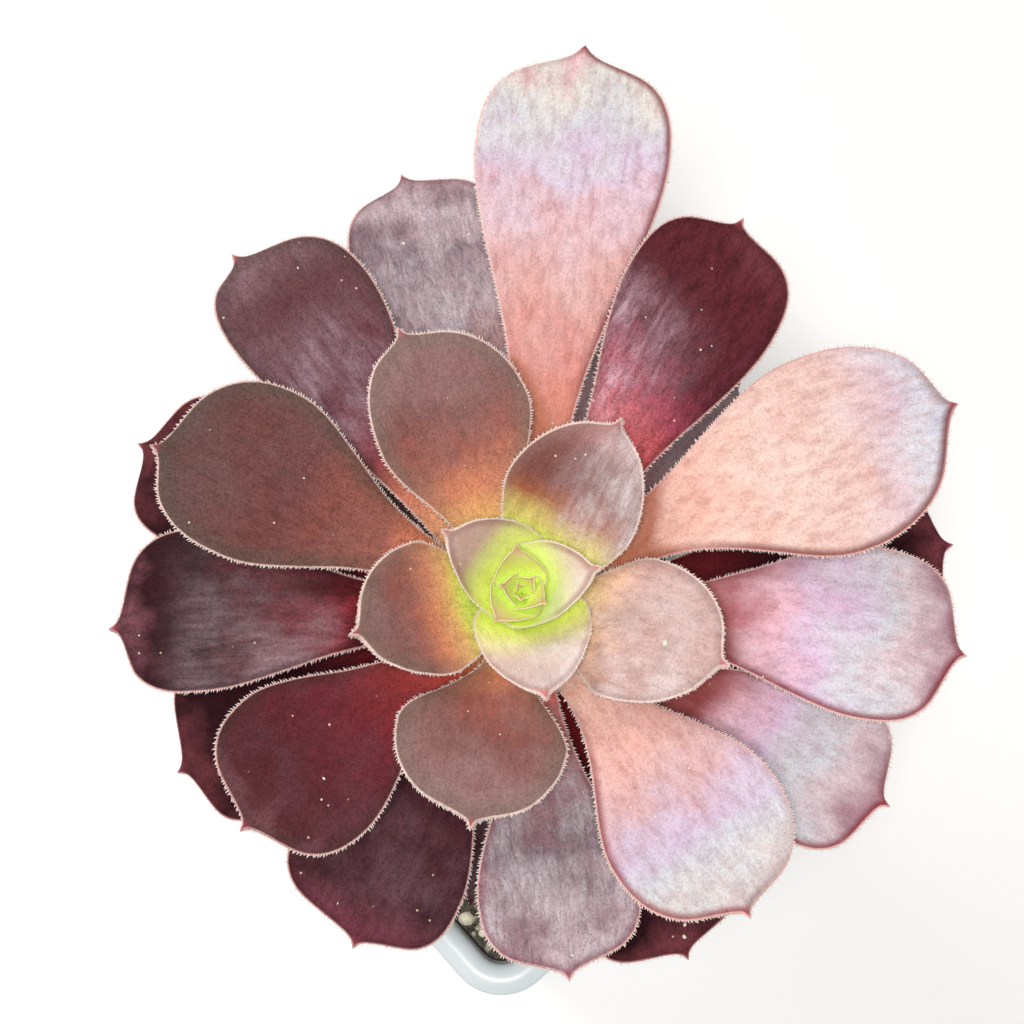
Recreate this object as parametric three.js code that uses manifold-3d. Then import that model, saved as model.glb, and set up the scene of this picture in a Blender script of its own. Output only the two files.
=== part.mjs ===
// A potted aeonium: a rosette of spoon-shaped leaves on a bare woody stem, rooted in gritty soil
// in a small square glazed pot. Millimetres, +Z up, origin at the middle of the pot's underside.
// Each open leaf is a piece of its own, seated on the stem. The youngest leaves, still wrapped
// round each other at the top of the stem, are one bud.
import * as THREE from 'three';
import { mergeVertices } from 'three/addons/utils/BufferGeometryUtils.js';
import Module from 'manifold-3d';

const wasm = await Module();
wasm.setup();

// ---- Driving dimensions -------------------------------------------------------------------

// Pot: half sides are from the middle to a flat side, and its corners are rounded.
const POT_HEIGHT = 68;
const POT_HALF_SIDE = 39;
const POT_BASE_HALF_SIDE = 29;
const POT_CORNER_RADIUS = 9;
const RIM_WIDTH = 5;
const BASE_WALL = 4.5;
const FLOOR_THICKNESS = 5;
const FOOT_ROUNDING = 1.5;
const DRAIN_RADIUS = 2.5;
const DRAIN_OFFSET = 12;
const CORNER_STEPS = 6;
const RIM_STEPS = 6;
const FOOT_STEPS = 3;
const DRAIN_SIDES = 12;

// Soil: it stands a little below the rim, rises towards the stem and carries loose grit.
const SOIL_LEVEL = 62.5;
const SOIL_MOUND = 0.6;
const SOIL_ROUGHNESS = 0.35;
const SOIL_RINGS = [0.12, 0.3, 0.5, 0.72];
const SOIL_SEED = 11;
const GRIT_COUNT = 60;
const GRIT_SMALLEST = 1;
const GRIT_LARGEST = 2.3;
const GRIT_FLATNESS = [1, 0.85, 0.7];
const GRIT_SPACING = 0.8;
const GRIT_CLEARANCE = 1;
const GRIT_LIFT = 0.15;

// Clearance between pieces that touch.
const SEAT_GAP = 0.3;
const LEAF_GAP = 0.35;

// Stem: [height, radius] from the buried root end to the flat top that carries the bud. It
// stands off the pot's middle along X, and its bare stretch is marked by old leaf scars.
const STEM_OUTLINE = [
  [28, 1.6], [33, 3.6], [45, 5.4], [60, 6.6], [66, 6.4], [97, 6.2], [104, 6.0],
  [111, 5.2], [117, 4.0], [121, 2.9], [124.6, 1.9],
];
const STEM_OFFSET = 1.2;
const STEM_SIDES = 22;
const SCARRED_FROM = 67;
const SCARRED_TO = 96;
const SCAR_SPACING = 1.6;
const SCAR_RELIEF = 0.35;
const SCAR_SHARPNESS = 4;

// Rosette: leaves follow each other round the stem by the golden angle, the youngest first.
// The first ones are still young, upright and cupped, and later ones lie ever lower.
const PLANT_TURN = -42;
const GOLDEN_ANGLE = 137.5;
const FIRST_TURN = 9.5;
const FIRST_SEAT = 122;
const SEAT_SPACING = 1;
const SEAT_CROWDING = 0.9;
const YOUNG_LEAVES = 7;
const FLAT_RISE = 20;
const YOUNG_RISE = 2.4;
const YOUNG_RISE_POWER = 1.3;
const DROOP = 1.3;

// Leaf blades. The pairs give a mature leaf's value, then the youngest open leaf's.
const BEND = [26, 13.75];
const SPOON = [1.6, 0.6];
const THICKNESS = [2.2, 1.6];
const CUP = [0.16, 0.37];
const POINT = [1, 0.74];
const EDGE_THICKNESS = 0.6;
const TIP_THINNING = 0.55;
const CUP_FLATTENING = 0.6;
const POINT_WIDTH = 3.2;
const POINT_LENGTH = 2.6;
const POINT_IN_BLADE = 0.8;
const MATURE_WAIST = 7.4;
const WAIST_ON_STEM = 1.35;

// How square the blade's round end is: it fills out over the first leaves, and then slowly.
const ROUNDNESS = 1.5;
const ROUNDNESS_GROWTH = 0.9;
const ROUNDNESS_POWER = 0.8;
const ROUNDNESS_LEAVES = 10;
const ROUNDNESS_LATER = 0.035;

// How finely blades are cut.
const BLADE_COLUMNS = 4;
const YOUNG_ROWS = 11;
const MATURE_ROWS = 13;
const LAST_ROW = 0.55;
const MIDRIB_STEPS = 80;
const OUTLINE_STEPS = 400;

// Open leaves from the heart outward. drift: degrees off the golden spiral. reach: from the
// stem's axis to the tip, seen from above. lift: degrees above the rosette's even fan.
// sweep: how far the midrib turns sideways, in degrees. skew: how much fuller the blade is on
// its left side, as a share of its half width. tone: which of the colours below it has.
const LEAVES = [
  { drift: 2, reach: 11.6, width: 12.2, belly: 0.22, sweep: 0, skew: 0.2, lift: 0, tone: 'heart' },
  { drift: -1, reach: 13.8, width: 13.8, belly: 0.26, sweep: 0, skew: -0.26, lift: 4, tone: 'heart' },
  { drift: -3, reach: 17.0, width: 16.8, belly: 0.24, sweep: 0, skew: 0.08, lift: 0, tone: 'heart' },
  { drift: -3, reach: 28.0, width: 20.4, belly: 0.50, sweep: 0, skew: 0.04, lift: -4, tone: 'brown' },
  { drift: -3, reach: 25.5, width: 20.0, belly: 0.48, sweep: 0, skew: -0.14, lift: 0, tone: 'brown' },
  { drift: 1, reach: 31.5, width: 21.8, belly: 0.50, sweep: -12, skew: 0.02, lift: 0, tone: 'pale' },
  { drift: 1, reach: 42.0, width: 23.2, belly: 0.61, sweep: 0, skew: -0.15, lift: 0, tone: 'brown' },
  { drift: 6, reach: 35.0, width: 24.6, belly: 0.58, sweep: 0, skew: -0.1, lift: 0, tone: 'brown' },
  { drift: -7.5, reach: 66.5, width: 29.8, belly: 0.68, sweep: -24, skew: -0.12, lift: 0, tone: 'pale' },
  { drift: -8, reach: 57.0, width: 26.8, belly: 0.68, sweep: 0, skew: -0.16, lift: 0, tone: 'maroon' },
  { drift: -0.5, reach: 56.0, width: 26.2, belly: 0.72, sweep: -12, skew: 0, lift: 0, tone: 'pale' },
  { drift: 1.5, reach: 85.0, width: 29.2, belly: 0.79, sweep: 0, skew: 0, lift: -5, tone: 'pale' },
  { drift: 1, reach: 52.0, width: 25.7, belly: 0.74, sweep: 10, skew: -0.04, lift: 0, tone: 'maroon' },
  { drift: -5, reach: 64.0, width: 25.4, belly: 0.78, sweep: -12, skew: 0.02, lift: 0, tone: 'pale' },
  { drift: -5, reach: 68.0, width: 23.2, belly: 0.78, sweep: -4, skew: -0.24, lift: 0, tone: 'maroon' },
  { drift: 5, reach: 54.5, width: 23.0, belly: 0.76, sweep: 0, skew: 0, lift: 0, tone: 'mauve' },
  { drift: 10, reach: 64.0, width: 24.0, belly: 0.78, sweep: 0, skew: -0.07, lift: 12, tone: 'maroon' },
  { drift: -4, reach: 60.5, width: 24.6, belly: 0.76, sweep: 0, skew: -0.16, lift: 0, tone: 'maroon' },
  { drift: 7, reach: 60.5, width: 23.6, belly: 0.78, sweep: 0, skew: 0, lift: 0, tone: 'pale' },
  { drift: 3, reach: 72.0, width: 25.0, belly: 0.76, sweep: 0, skew: -0.1, lift: 0, tone: 'mauve' },
  { drift: 4, reach: 54.5, width: 26.4, belly: 0.76, sweep: 0, skew: -0.14, lift: 0, tone: 'maroon' },
  { drift: -7, reach: 66.0, width: 24.0, belly: 0.75, sweep: 0, skew: 0, lift: 0, tone: 'wine' },
  { drift: 0, reach: 65.0, width: 25.0, belly: 0.75, sweep: 0, skew: 0, lift: 0, tone: 'wine' },
  { drift: 4, reach: 55.5, width: 25.0, belly: 0.74, sweep: 0, skew: 0, lift: 0, tone: 'wine' },
  { drift: 5, reach: 53.0, width: 20.0, belly: 0.74, sweep: 0, skew: 0, lift: 0, tone: 'mauve' },
  { drift: -4, reach: 56.0, width: 26.2, belly: 0.74, sweep: 0, skew: -0.1, lift: 0, tone: 'wine' },
  { drift: 0, reach: 50.0, width: 20.0, belly: 0.74, sweep: 0, skew: 0, lift: 0, tone: 'wine' },
  { drift: 0, reach: 50.0, width: 20.0, belly: 0.74, sweep: 0, skew: 0, lift: 0, tone: 'wine' },
  { drift: 0, reach: 46.0, width: 19.0, belly: 0.74, sweep: 0, skew: 0, lift: 0, tone: 'wine' },
  { drift: 13, reach: 52.5, width: 18.0, belly: 0.74, sweep: 0, skew: 0, lift: 0, tone: 'mauve' },
  { drift: 0, reach: 46.0, width: 18.0, belly: 0.74, sweep: 0, skew: 0, lift: 0, tone: 'wine' },
];

// Bud: its leaves stand round a short core on the stem's top, the outermost first. What they
// have in common is in BUD_BLADE, and curl is how far each one turns upright along its length.
const BUD_CORE_OUTLINE = [[0, 0], [1.6, 0], [1.6, 2.5], [0.8, 4.5], [0, 5.2]];
const BUD_CORE_SIDES = 10;
const BUD_LEAF_START = 0.8;
const BUD_LEAF_SEAT = 0.8;
const BUD_CURL = 28;
const BUD_WAIST = 0.5;
const BUD_ROWS = 7;
const BUD_BLADE = {
  sweep: 0, skew: 0, belly: 0.4, spoon: 0.8, round: 1.5, thickness: 0.9, cup: 0.5, point: 0.4,
};
const BUD_LEAVES = [
  { drift: 0, reach: 6.5, width: 7.4, length: 9.4 },
  { drift: 4, reach: 5.8, width: 6.4, length: 9.6 },
  { drift: 7, reach: 3.9, width: 5.0, length: 9.0 },
  { drift: -5, reach: 2.9, width: 4.0, length: 8.4 },
  { drift: 0, reach: 2.2, width: 3.2, length: 8.0 },
  { drift: 0, reach: 1.3, width: 2.4, length: 7.6 },
];

// Colour and roughness of each piece, with the open leaves by their tone.
const FINISHES = {
  pot: { color: 0xd3dee3, roughness: 0.2 },
  soil: { color: 0x6d655a, roughness: 0.95 },
  stem: { color: 0x8a735c, roughness: 0.8 },
  bud: { color: 0xb4dc4e, roughness: 0.5 },
  heart: { color: 0xa8977a, roughness: 0.55 },
  brown: { color: 0x8a6a5e, roughness: 0.55 },
  pale: { color: 0xd9b3b0, roughness: 0.55 },
  maroon: { color: 0x6b3b3f, roughness: 0.55 },
  mauve: { color: 0x94777f, roughness: 0.55 },
  wine: { color: 0x47141f, roughness: 0.55 },
};

// ---- Small tools --------------------------------------------------------------------------

const radians = THREE.MathUtils.degToRad;
const lerp = THREE.MathUtils.lerp;

// A repeatable stream of numbers from 0 to 1 (the mulberry32 generator).
function seededRandom(seed) {
  let state = seed;
  return () => {
    state = (state + 0x6d2b79f5) >>> 0;
    let mixed = Math.imul(state ^ (state >>> 15), state | 1);
    mixed ^= mixed + Math.imul(mixed ^ (mixed >>> 7), mixed | 61);
    return ((mixed ^ (mixed >>> 14)) >>> 0) / 2 ** 32;
  };
}

// A closed surface from its points and triangles.
function surfaceOf(points, triangles) {
  const geometry = new THREE.BufferGeometry();
  geometry.setAttribute('position', new THREE.Float32BufferAttribute(points.flat(), 3));
  geometry.setIndex(triangles.flat());
  geometry.computeVertexNormals();
  return geometry;
}

// Rings of equal point counts joined into one closed surface, with a fan on each end ring.
function loft(rings) {
  const count = rings[0].length;
  const triangles = [];
  for (let ring = 0; ring + 1 < rings.length; ring += 1) {
    for (let side = 0; side < count; side += 1) {
      const a = ring * count + side;
      const b = ring * count + ((side + 1) % count);
      triangles.push([a, b, b + count], [a, b + count, a + count]);
    }
  }
  const last = (rings.length - 1) * count;
  for (let side = 1; side + 1 < count; side += 1) {
    triangles.push([0, side + 1, side], [last, last + side, last + side + 1]);
  }
  return surfaceOf(rings.flat(), triangles);
}

// A geometry as a manifold solid, and back.
function solidOf(geometry) {
  const bare = geometry.clone();
  bare.deleteAttribute('normal');
  bare.deleteAttribute('uv');
  const merged = mergeVertices(bare, 1e-4);
  return new wasm.Manifold(new wasm.Mesh({
    numProp: 3,
    vertProperties: merged.attributes.position.array,
    triVerts: new Uint32Array(merged.index.array),
  }));
}

function geometryOf(solid) {
  const mesh = solid.getMesh();
  const geometry = new THREE.BufferGeometry();
  geometry.setAttribute('position', new THREE.BufferAttribute(mesh.vertProperties, 3));
  geometry.setIndex(new THREE.BufferAttribute(mesh.triVerts, 1));
  geometry.computeVertexNormals();
  return geometry;
}

function piece(name, geometry, finish) {
  const mesh = new THREE.Mesh(geometry, new THREE.MeshStandardMaterial({ ...finish, metalness: 0 }));
  mesh.name = name;
  return mesh;
}

// ---- Pot ----------------------------------------------------------------------------------

// A level square ring with rounded corners.
function squareRing(halfSide, cornerRadius, height) {
  const ring = [];
  for (let corner = 0; corner < 4; corner += 1) {
    const diagonal = radians(90 * corner + 45);
    const reach = (halfSide - cornerRadius) * Math.SQRT2;
    for (let step = 0; step <= CORNER_STEPS; step += 1) {
      const angle = radians(90 * corner + (90 * step) / CORNER_STEPS);
      ring.push([
        reach * Math.cos(diagonal) + cornerRadius * Math.cos(angle),
        reach * Math.sin(diagonal) + cornerRadius * Math.sin(angle),
        height,
      ]);
    }
  }
  return ring;
}

// Square rings along an arc that rounds an edge: its centre lies inset by the arc's radius.
function roundedEdge(halfSide, centreHeight, radius, fromAngle, toAngle, steps) {
  return Array.from({ length: steps + 1 }, (_, step) => {
    const angle = radians(lerp(fromAngle, toAngle, step / steps));
    const out = radius * (Math.cos(angle) - 1);
    return squareRing(halfSide + out, POT_CORNER_RADIUS + out, centreHeight + radius * Math.sin(angle));
  });
}

const RIM_RADIUS = RIM_WIDTH / 2;
const INNER_CORNER_RADIUS = POT_CORNER_RADIUS - RIM_WIDTH;
const INNER_BASE_HALF_SIDE = POT_BASE_HALF_SIDE - BASE_WALL;

// The inner wall's half side at a height.
function innerHalfSide(height) {
  const share = (height - FLOOR_THICKNESS) / (POT_HEIGHT - RIM_RADIUS - FLOOR_THICKNESS);
  return lerp(INNER_BASE_HALF_SIDE, POT_HALF_SIDE - RIM_WIDTH, share);
}

function potGeometry() {
  let pot = solidOf(loft([
    ...roundedEdge(POT_BASE_HALF_SIDE, FOOT_ROUNDING, FOOT_ROUNDING, -90, 0, FOOT_STEPS),
    ...roundedEdge(POT_HALF_SIDE, POT_HEIGHT - RIM_RADIUS, RIM_RADIUS, 0, 180, RIM_STEPS),
    squareRing(INNER_BASE_HALF_SIDE, INNER_CORNER_RADIUS, FLOOR_THICKNESS),
  ]));
  for (const [x, y] of [[1, 0], [0, 1], [-1, 0], [0, -1]]) {
    const drain = new THREE.CylinderGeometry(DRAIN_RADIUS, DRAIN_RADIUS, 4 * FLOOR_THICKNESS, DRAIN_SIDES);
    drain.rotateX(Math.PI / 2).translate(x * DRAIN_OFFSET, y * DRAIN_OFFSET, 0);
    pot = pot.subtract(solidOf(drain));
  }
  return geometryOf(pot);
}

// ---- Stem ---------------------------------------------------------------------------------

const STEM_ROOT = STEM_OUTLINE[0][0];
const STEM_TOP = STEM_OUTLINE.at(-1)[0];

// The stem's radius at a height, without its scars.
function stemRadius(height) {
  const above = STEM_OUTLINE.findIndex(([outlineHeight]) => outlineHeight >= height);
  if (above === 0) return STEM_OUTLINE[0][1];
  if (above < 0) return STEM_OUTLINE.at(-1)[1];
  const [low, lowRadius] = STEM_OUTLINE[above - 1];
  const [high, highRadius] = STEM_OUTLINE[above];
  return lerp(lowRadius, highRadius, (height - low) / (high - low));
}

function stemGeometry() {
  const heights = STEM_OUTLINE.map(([height]) => height);
  for (let height = SCARRED_FROM; height < SCARRED_TO; height += SCAR_SPACING) heights.push(height);
  heights.sort((a, b) => a - b);
  return loft(heights.map((height) => {
    const relief = height >= SCARRED_FROM && height < SCARRED_TO ? SCAR_RELIEF : 0;
    const turn = radians((GOLDEN_ANGLE * height) / SCAR_SPACING);
    return Array.from({ length: STEM_SIDES }, (_, side) => {
      const angle = (2 * Math.PI * side) / STEM_SIDES;
      const radius = stemRadius(height) - relief * Math.max(0, Math.cos(angle - turn)) ** SCAR_SHARPNESS;
      return [radius * Math.cos(angle), radius * Math.sin(angle), height];
    });
  }));
}

// ---- Soil and grit ------------------------------------------------------------------------

// Soil up to its rough top, with a plain hole that follows the buried end of the stem.
function bareSoil(random) {
  const floor = FLOOR_THICKNESS + SEAT_GAP;
  const corner = INNER_CORNER_RADIUS - SEAT_GAP;
  const bottom = squareRing(innerHalfSide(floor) - SEAT_GAP, corner, floor);
  const edge = squareRing(innerHalfSide(SOIL_LEVEL) - SEAT_GAP, corner, SOIL_LEVEL);
  const hole = (height) => edge.map((_, side) => {
    const radius = stemRadius(height) + SEAT_GAP;
    const angle = radians(45) + (2 * Math.PI * (side - CORNER_STEPS / 2)) / edge.length;
    return [STEM_OFFSET + radius * Math.cos(angle), radius * Math.sin(angle), height];
  });
  const rim = hole(SOIL_LEVEL + SOIL_MOUND);
  const top = SOIL_RINGS.map((share) => edge.map(([x, y], side) => [
    lerp(x, rim[side][0], share),
    lerp(y, rim[side][1], share),
    SOIL_LEVEL + SOIL_MOUND * share + SOIL_ROUGHNESS * (2 * random() - 1),
  ]));
  const buried = STEM_OUTLINE.map(([height]) => height)
    .filter((height) => height > STEM_ROOT && height < SOIL_LEVEL)
    .reverse();
  return solidOf(loft([bottom, edge, ...top, rim, ...buried.map(hole), hole(STEM_ROOT - SEAT_GAP)]));
}

// Places and sizes of the stones, clear of the stem and of each other.
function gritPlaces(random) {
  const span = innerHalfSide(SOIL_LEVEL) - GRIT_LARGEST - 2 * SEAT_GAP;
  const stones = [];
  while (stones.length < GRIT_COUNT) {
    const x = span * (2 * random() - 1);
    const y = span * (2 * random() - 1);
    const size = lerp(GRIT_SMALLEST, GRIT_LARGEST, random() ** 2);
    const fromStem = Math.hypot(x - STEM_OFFSET, y);
    const clearOfStem = fromStem > stemRadius(SOIL_LEVEL) + size + GRIT_CLEARANCE;
    const apart = stones.every((other) => (
      Math.hypot(x - other.x, y - other.y) > GRIT_SPACING * (size + other.size)
    ));
    if (clearOfStem && apart) stones.push({ x, y, size, fromStem });
  }
  return stones;
}

function soilGeometry() {
  const random = seededRandom(SOIL_SEED);
  let soil = bareSoil(random);
  for (const { x, y, size, fromStem } of gritPlaces(random)) {
    const mound = SOIL_MOUND * Math.max(0, 1 - fromStem / innerHalfSide(SOIL_LEVEL));
    const stone = new THREE.IcosahedronGeometry(size, 0);
    stone.scale(...GRIT_FLATNESS);
    stone.rotateX(2 * Math.PI * random()).rotateY(2 * Math.PI * random());
    stone.translate(x, y, SOIL_LEVEL + mound + GRIT_LIFT);
    soil = soil.add(solidOf(stone));
  }
  return geometryOf(soil);
}

// ---- Leaves -------------------------------------------------------------------------------

// The midrib of a leaf in its own frame, where the tip lies over +x. It starts on the stem's
// surface, rises by an angle that eases from base to tip, and bows sideways by its sweep.
function midribOf(leaf) {
  const riseAt = (share) => radians(lerp(leaf.baseRise, leaf.tipRise, share));
  const headingAt = (share) => radians(leaf.sweep * (share - 0.5));
  const trace = [[0, 0, 0]];
  for (let step = 0; step < MIDRIB_STEPS; step += 1) {
    const share = (step + 0.5) / MIDRIB_STEPS;
    const level = Math.cos(riseAt(share)) / MIDRIB_STEPS;
    const [x, y, z] = trace.at(-1);
    trace.push([
      x + level * Math.cos(headingAt(share)),
      y + level * Math.sin(headingAt(share)),
      z + Math.sin(riseAt(share)) / MIDRIB_STEPS,
    ]);
  }
  const [tipX, tipY] = trace.at(-1);
  const chord = Math.atan2(tipY, tipX);
  const length = (leaf.reach - leaf.start) / Math.hypot(tipX, tipY);
  const frameAt = (share) => {
    const index = Math.min(Math.floor(share * MIDRIB_STEPS), MIDRIB_STEPS - 1);
    const blend = share * MIDRIB_STEPS - index;
    const [x, y, z] = trace[index].map((value, axis) => lerp(value, trace[index + 1][axis], blend));
    const rise = riseAt(share);
    const heading = headingAt(share) - chord;
    return {
      centre: new THREE.Vector3(
        leaf.start + length * (x * Math.cos(chord) + y * Math.sin(chord)),
        length * (y * Math.cos(chord) - x * Math.sin(chord)),
        length * z,
      ),
      side: new THREE.Vector3(-Math.sin(heading), Math.cos(heading), 0),
      up: new THREE.Vector3(
        -Math.sin(rise) * Math.cos(heading),
        -Math.sin(rise) * Math.sin(heading),
        Math.cos(rise),
      ),
    };
  };
  return { length, frameAt };
}

// Half the blade's width at a share of its length: a narrow waist that widens like a spoon to
// the belly, then a round end with a short point.
function halfWidth(leaf, length, share) {
  const widest = leaf.width / 2;
  if (share <= leaf.belly) {
    const grown = Math.sin((Math.PI / 2) * (share / leaf.belly) ** leaf.spoon) ** 2;
    return lerp(leaf.waist / 2, widest, grown);
  }
  const pointLength = POINT_LENGTH * leaf.point;
  const end = 1 - (POINT_IN_BLADE * pointLength) / length;
  const along = Math.min(1, (share - leaf.belly) / (end - leaf.belly));
  const round = widest * (1 - along ** leaf.round) ** (1 / leaf.round);
  const fromTip = (1 - share) * length;
  const spike = (POINT_WIDTH * leaf.point * fromTip) / (fromTip + pointLength);
  return Math.cbrt(round ** 3 + spike ** 3);
}

// Shares of the length at which to cut the blade, evenly spaced along its outline, with one
// more across the point.
function rowShares(leaf, length, rows) {
  const walked = [0];
  for (let i = 1; i <= OUTLINE_STEPS; i += 1) {
    const share = i / OUTLINE_STEPS;
    const before = (i - 1) / OUTLINE_STEPS;
    const wider = halfWidth(leaf, length, share) - halfWidth(leaf, length, before);
    walked.push(walked.at(-1) + Math.hypot(length / OUTLINE_STEPS, wider));
  }
  const spacing = walked.at(-1) / (rows - 0.7);
  const shares = Array.from({ length: rows - 1 }, (_, row) => (
    walked.findIndex((distance) => distance >= spacing * row) / OUTLINE_STEPS
  ));
  return [...shares, 1 - (LAST_ROW * POINT_LENGTH * leaf.point) / length];
}

// One blade as a closed body: an upper and a lower face alike in their triangles, a thin edge,
// an end that follows the stem where it has one to follow, and a single point at the tip.
function leafGeometry(leaf, rows) {
  const { length, frameAt } = midribOf(leaf);
  const shares = rowShares(leaf, length, rows);
  const columns = BLADE_COLUMNS;
  const points = [];
  for (const face of [1, -1]) {
    shares.forEach((share, row) => {
      const { centre, side, up } = frameAt(share);
      const half = halfWidth(leaf, length, share);
      const thickness = leaf.thickness * lerp(1, TIP_THINNING, share);
      const cup = leaf.cup * (1 - CUP_FLATTENING * share);
      for (let column = 0; column <= columns; column += 1) {
        const across = (2 * column) / columns - 1;
        const offset = (face / 2) * lerp(EDGE_THICKNESS, thickness, 1 - across ** 2);
        const spot = centre.clone()
          .addScaledVector(side, half * (across + leaf.skew))
          .addScaledVector(up, cup * half * across ** 2 + offset);
        if (row === 0 && leaf.seat) {
          const radius = stemRadius(leaf.seat + spot.z) + LEAF_GAP;
          spot.x = Math.sqrt(radius ** 2 - spot.y ** 2);
        }
        points.push(spot.toArray());
      }
    });
  }
  points.push(frameAt(1).centre.toArray());

  const width = columns + 1;
  const lower = rows * width;
  const tip = 2 * lower;
  const end = (rows - 1) * width;
  const triangles = [];
  const face = (a, b, c) => triangles.push([a, b, c], [lower + a, lower + c, lower + b]);
  const wall = (a, b) => triangles.push([a, lower + a, lower + b], [a, lower + b, b]);
  for (let row = 0; row + 1 < rows; row += 1) {
    const right = row * width;
    const left = right + columns;
    for (let a = right; a < left; a += 1) {
      face(a, a + width, a + width + 1);
      face(a, a + width + 1, a + 1);
    }
    wall(right, right + width);
    wall(left + width, left);
  }
  for (let column = 0; column < columns; column += 1) {
    triangles.push([end + column, tip, end + column + 1]);
    triangles.push([lower + end + column, lower + end + column + 1, tip]);
    wall(column + 1, column);
  }
  triangles.push([end, lower + end, tip], [end + columns, tip, lower + end + columns]);
  return surfaceOf(points, triangles);
}

// Fills in what the rosette's rule gives each open leaf from its place in the spiral.
function openLeaf(leaf, order) {
  const young = Math.max(0, YOUNG_LEAVES - order);
  const old = Math.max(0, order - YOUNG_LEAVES);
  const byAge = ([mature, youngest]) => lerp(mature, youngest, young / YOUNG_LEAVES);
  const rise = FLAT_RISE + YOUNG_RISE * young ** YOUNG_RISE_POWER - DROOP * old + leaf.lift;
  const seat = FIRST_SEAT - SEAT_SPACING * order ** SEAT_CROWDING;
  const filledOut = ROUNDNESS_GROWTH * Math.min(1, order / ROUNDNESS_LEAVES) ** ROUNDNESS_POWER;
  return {
    ...leaf,
    turn: FIRST_TURN + GOLDEN_ANGLE * order + leaf.drift,
    seat,
    start: stemRadius(seat) + LEAF_GAP,
    baseRise: rise + byAge(BEND) / 2,
    tipRise: rise - byAge(BEND) / 2,
    waist: Math.min(MATURE_WAIST, WAIST_ON_STEM * stemRadius(seat)),
    round: ROUNDNESS + filledOut + ROUNDNESS_LATER * Math.max(0, order - ROUNDNESS_LEAVES),
    spoon: byAge(SPOON),
    thickness: byAge(THICKNESS),
    cup: byAge(CUP),
    point: byAge(POINT),
  };
}

// ---- Bud ----------------------------------------------------------------------------------

function budGeometry() {
  const core = new THREE.LatheGeometry(
    BUD_CORE_OUTLINE.map(([radius, height]) => new THREE.Vector2(radius, height)),
    BUD_CORE_SIDES,
  );
  let bud = solidOf(core.rotateX(Math.PI / 2));
  BUD_LEAVES.forEach((leaf, place) => {
    const upright = Math.acos((leaf.reach - BUD_LEAF_START) / leaf.length);
    const rise = THREE.MathUtils.radToDeg(upright);
    const blade = leafGeometry({
      ...BUD_BLADE,
      ...leaf,
      start: BUD_LEAF_START,
      waist: BUD_WAIST * leaf.width,
      baseRise: rise - BUD_CURL / 2,
      tipRise: rise + BUD_CURL / 2,
    }, BUD_ROWS);
    blade.rotateZ(radians(FIRST_TURN - GOLDEN_ANGLE * (place + 1) + leaf.drift));
    blade.translate(0, 0, BUD_LEAF_SEAT);
    bud = bud.add(solidOf(blade));
  });
  return geometryOf(bud);
}

// ---- Assembly -----------------------------------------------------------------------------

const plant = new THREE.Group();
plant.position.x = STEM_OFFSET;
plant.rotation.z = radians(PLANT_TURN);
plant.add(piece('stem', stemGeometry(), FINISHES.stem));

const bud = piece('heart_bud', budGeometry(), FINISHES.bud);
bud.position.z = STEM_TOP + SEAT_GAP;
plant.add(bud);

LEAVES.forEach((drawn, order) => {
  const leaf = openLeaf(drawn, order);
  const rows = order < YOUNG_LEAVES ? YOUNG_ROWS : MATURE_ROWS;
  const name = `leaf_${String(order + 1).padStart(2, '0')}`;
  const mesh = piece(name, leafGeometry(leaf, rows), FINISHES[leaf.tone]);
  mesh.position.z = leaf.seat;
  mesh.rotation.z = radians(leaf.turn);
  plant.add(mesh);
});

const pottedAeonium = new THREE.Group();
pottedAeonium.add(piece('pot', potGeometry(), FINISHES.pot));
pottedAeonium.add(piece('soil', soilGeometry(), FINISHES.soil));
pottedAeonium.add(plant);

export default pottedAeonium;
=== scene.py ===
"""A potted aeonium seen from above: a rosette of felted, spoon-shaped leaves on a woody stem.

The leaves repeat the frame's rule: they follow each other round the stem by the golden angle,
and each blade is drawn from a few sizes of its own. Lengths are in millimetres until a mesh is
made, and angles in degrees until they are used.
"""

import logging
import math
from dataclasses import dataclass, field
from enum import Enum
from functools import cached_property, partial
from typing import Callable, Sequence

import bmesh
import bpy
import numpy as np
from mathutils import Matrix, Vector
from mathutils.kdtree import KDTree

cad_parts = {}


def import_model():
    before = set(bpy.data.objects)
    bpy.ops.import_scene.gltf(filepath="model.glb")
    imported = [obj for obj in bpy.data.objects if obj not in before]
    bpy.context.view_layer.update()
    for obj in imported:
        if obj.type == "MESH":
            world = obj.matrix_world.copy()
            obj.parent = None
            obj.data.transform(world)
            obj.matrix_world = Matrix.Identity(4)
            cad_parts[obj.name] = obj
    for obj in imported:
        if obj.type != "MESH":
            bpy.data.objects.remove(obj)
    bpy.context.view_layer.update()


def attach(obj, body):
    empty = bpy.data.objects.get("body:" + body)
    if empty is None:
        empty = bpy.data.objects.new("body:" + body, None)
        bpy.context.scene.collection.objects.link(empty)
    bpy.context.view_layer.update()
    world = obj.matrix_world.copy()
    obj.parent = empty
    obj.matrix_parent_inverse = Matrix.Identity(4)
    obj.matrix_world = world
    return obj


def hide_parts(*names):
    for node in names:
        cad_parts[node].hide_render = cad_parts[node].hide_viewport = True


MM = 0.001
BODY = "root"
LOG = logging.getLogger("potted_aeonium")

Array = np.ndarray
Faces = list[tuple[int, ...]]
Shape = tuple[Array, Faces]
Socket = bpy.types.NodeSocket


# ---- Small tools ----------------------------------------------------------------------------


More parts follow.
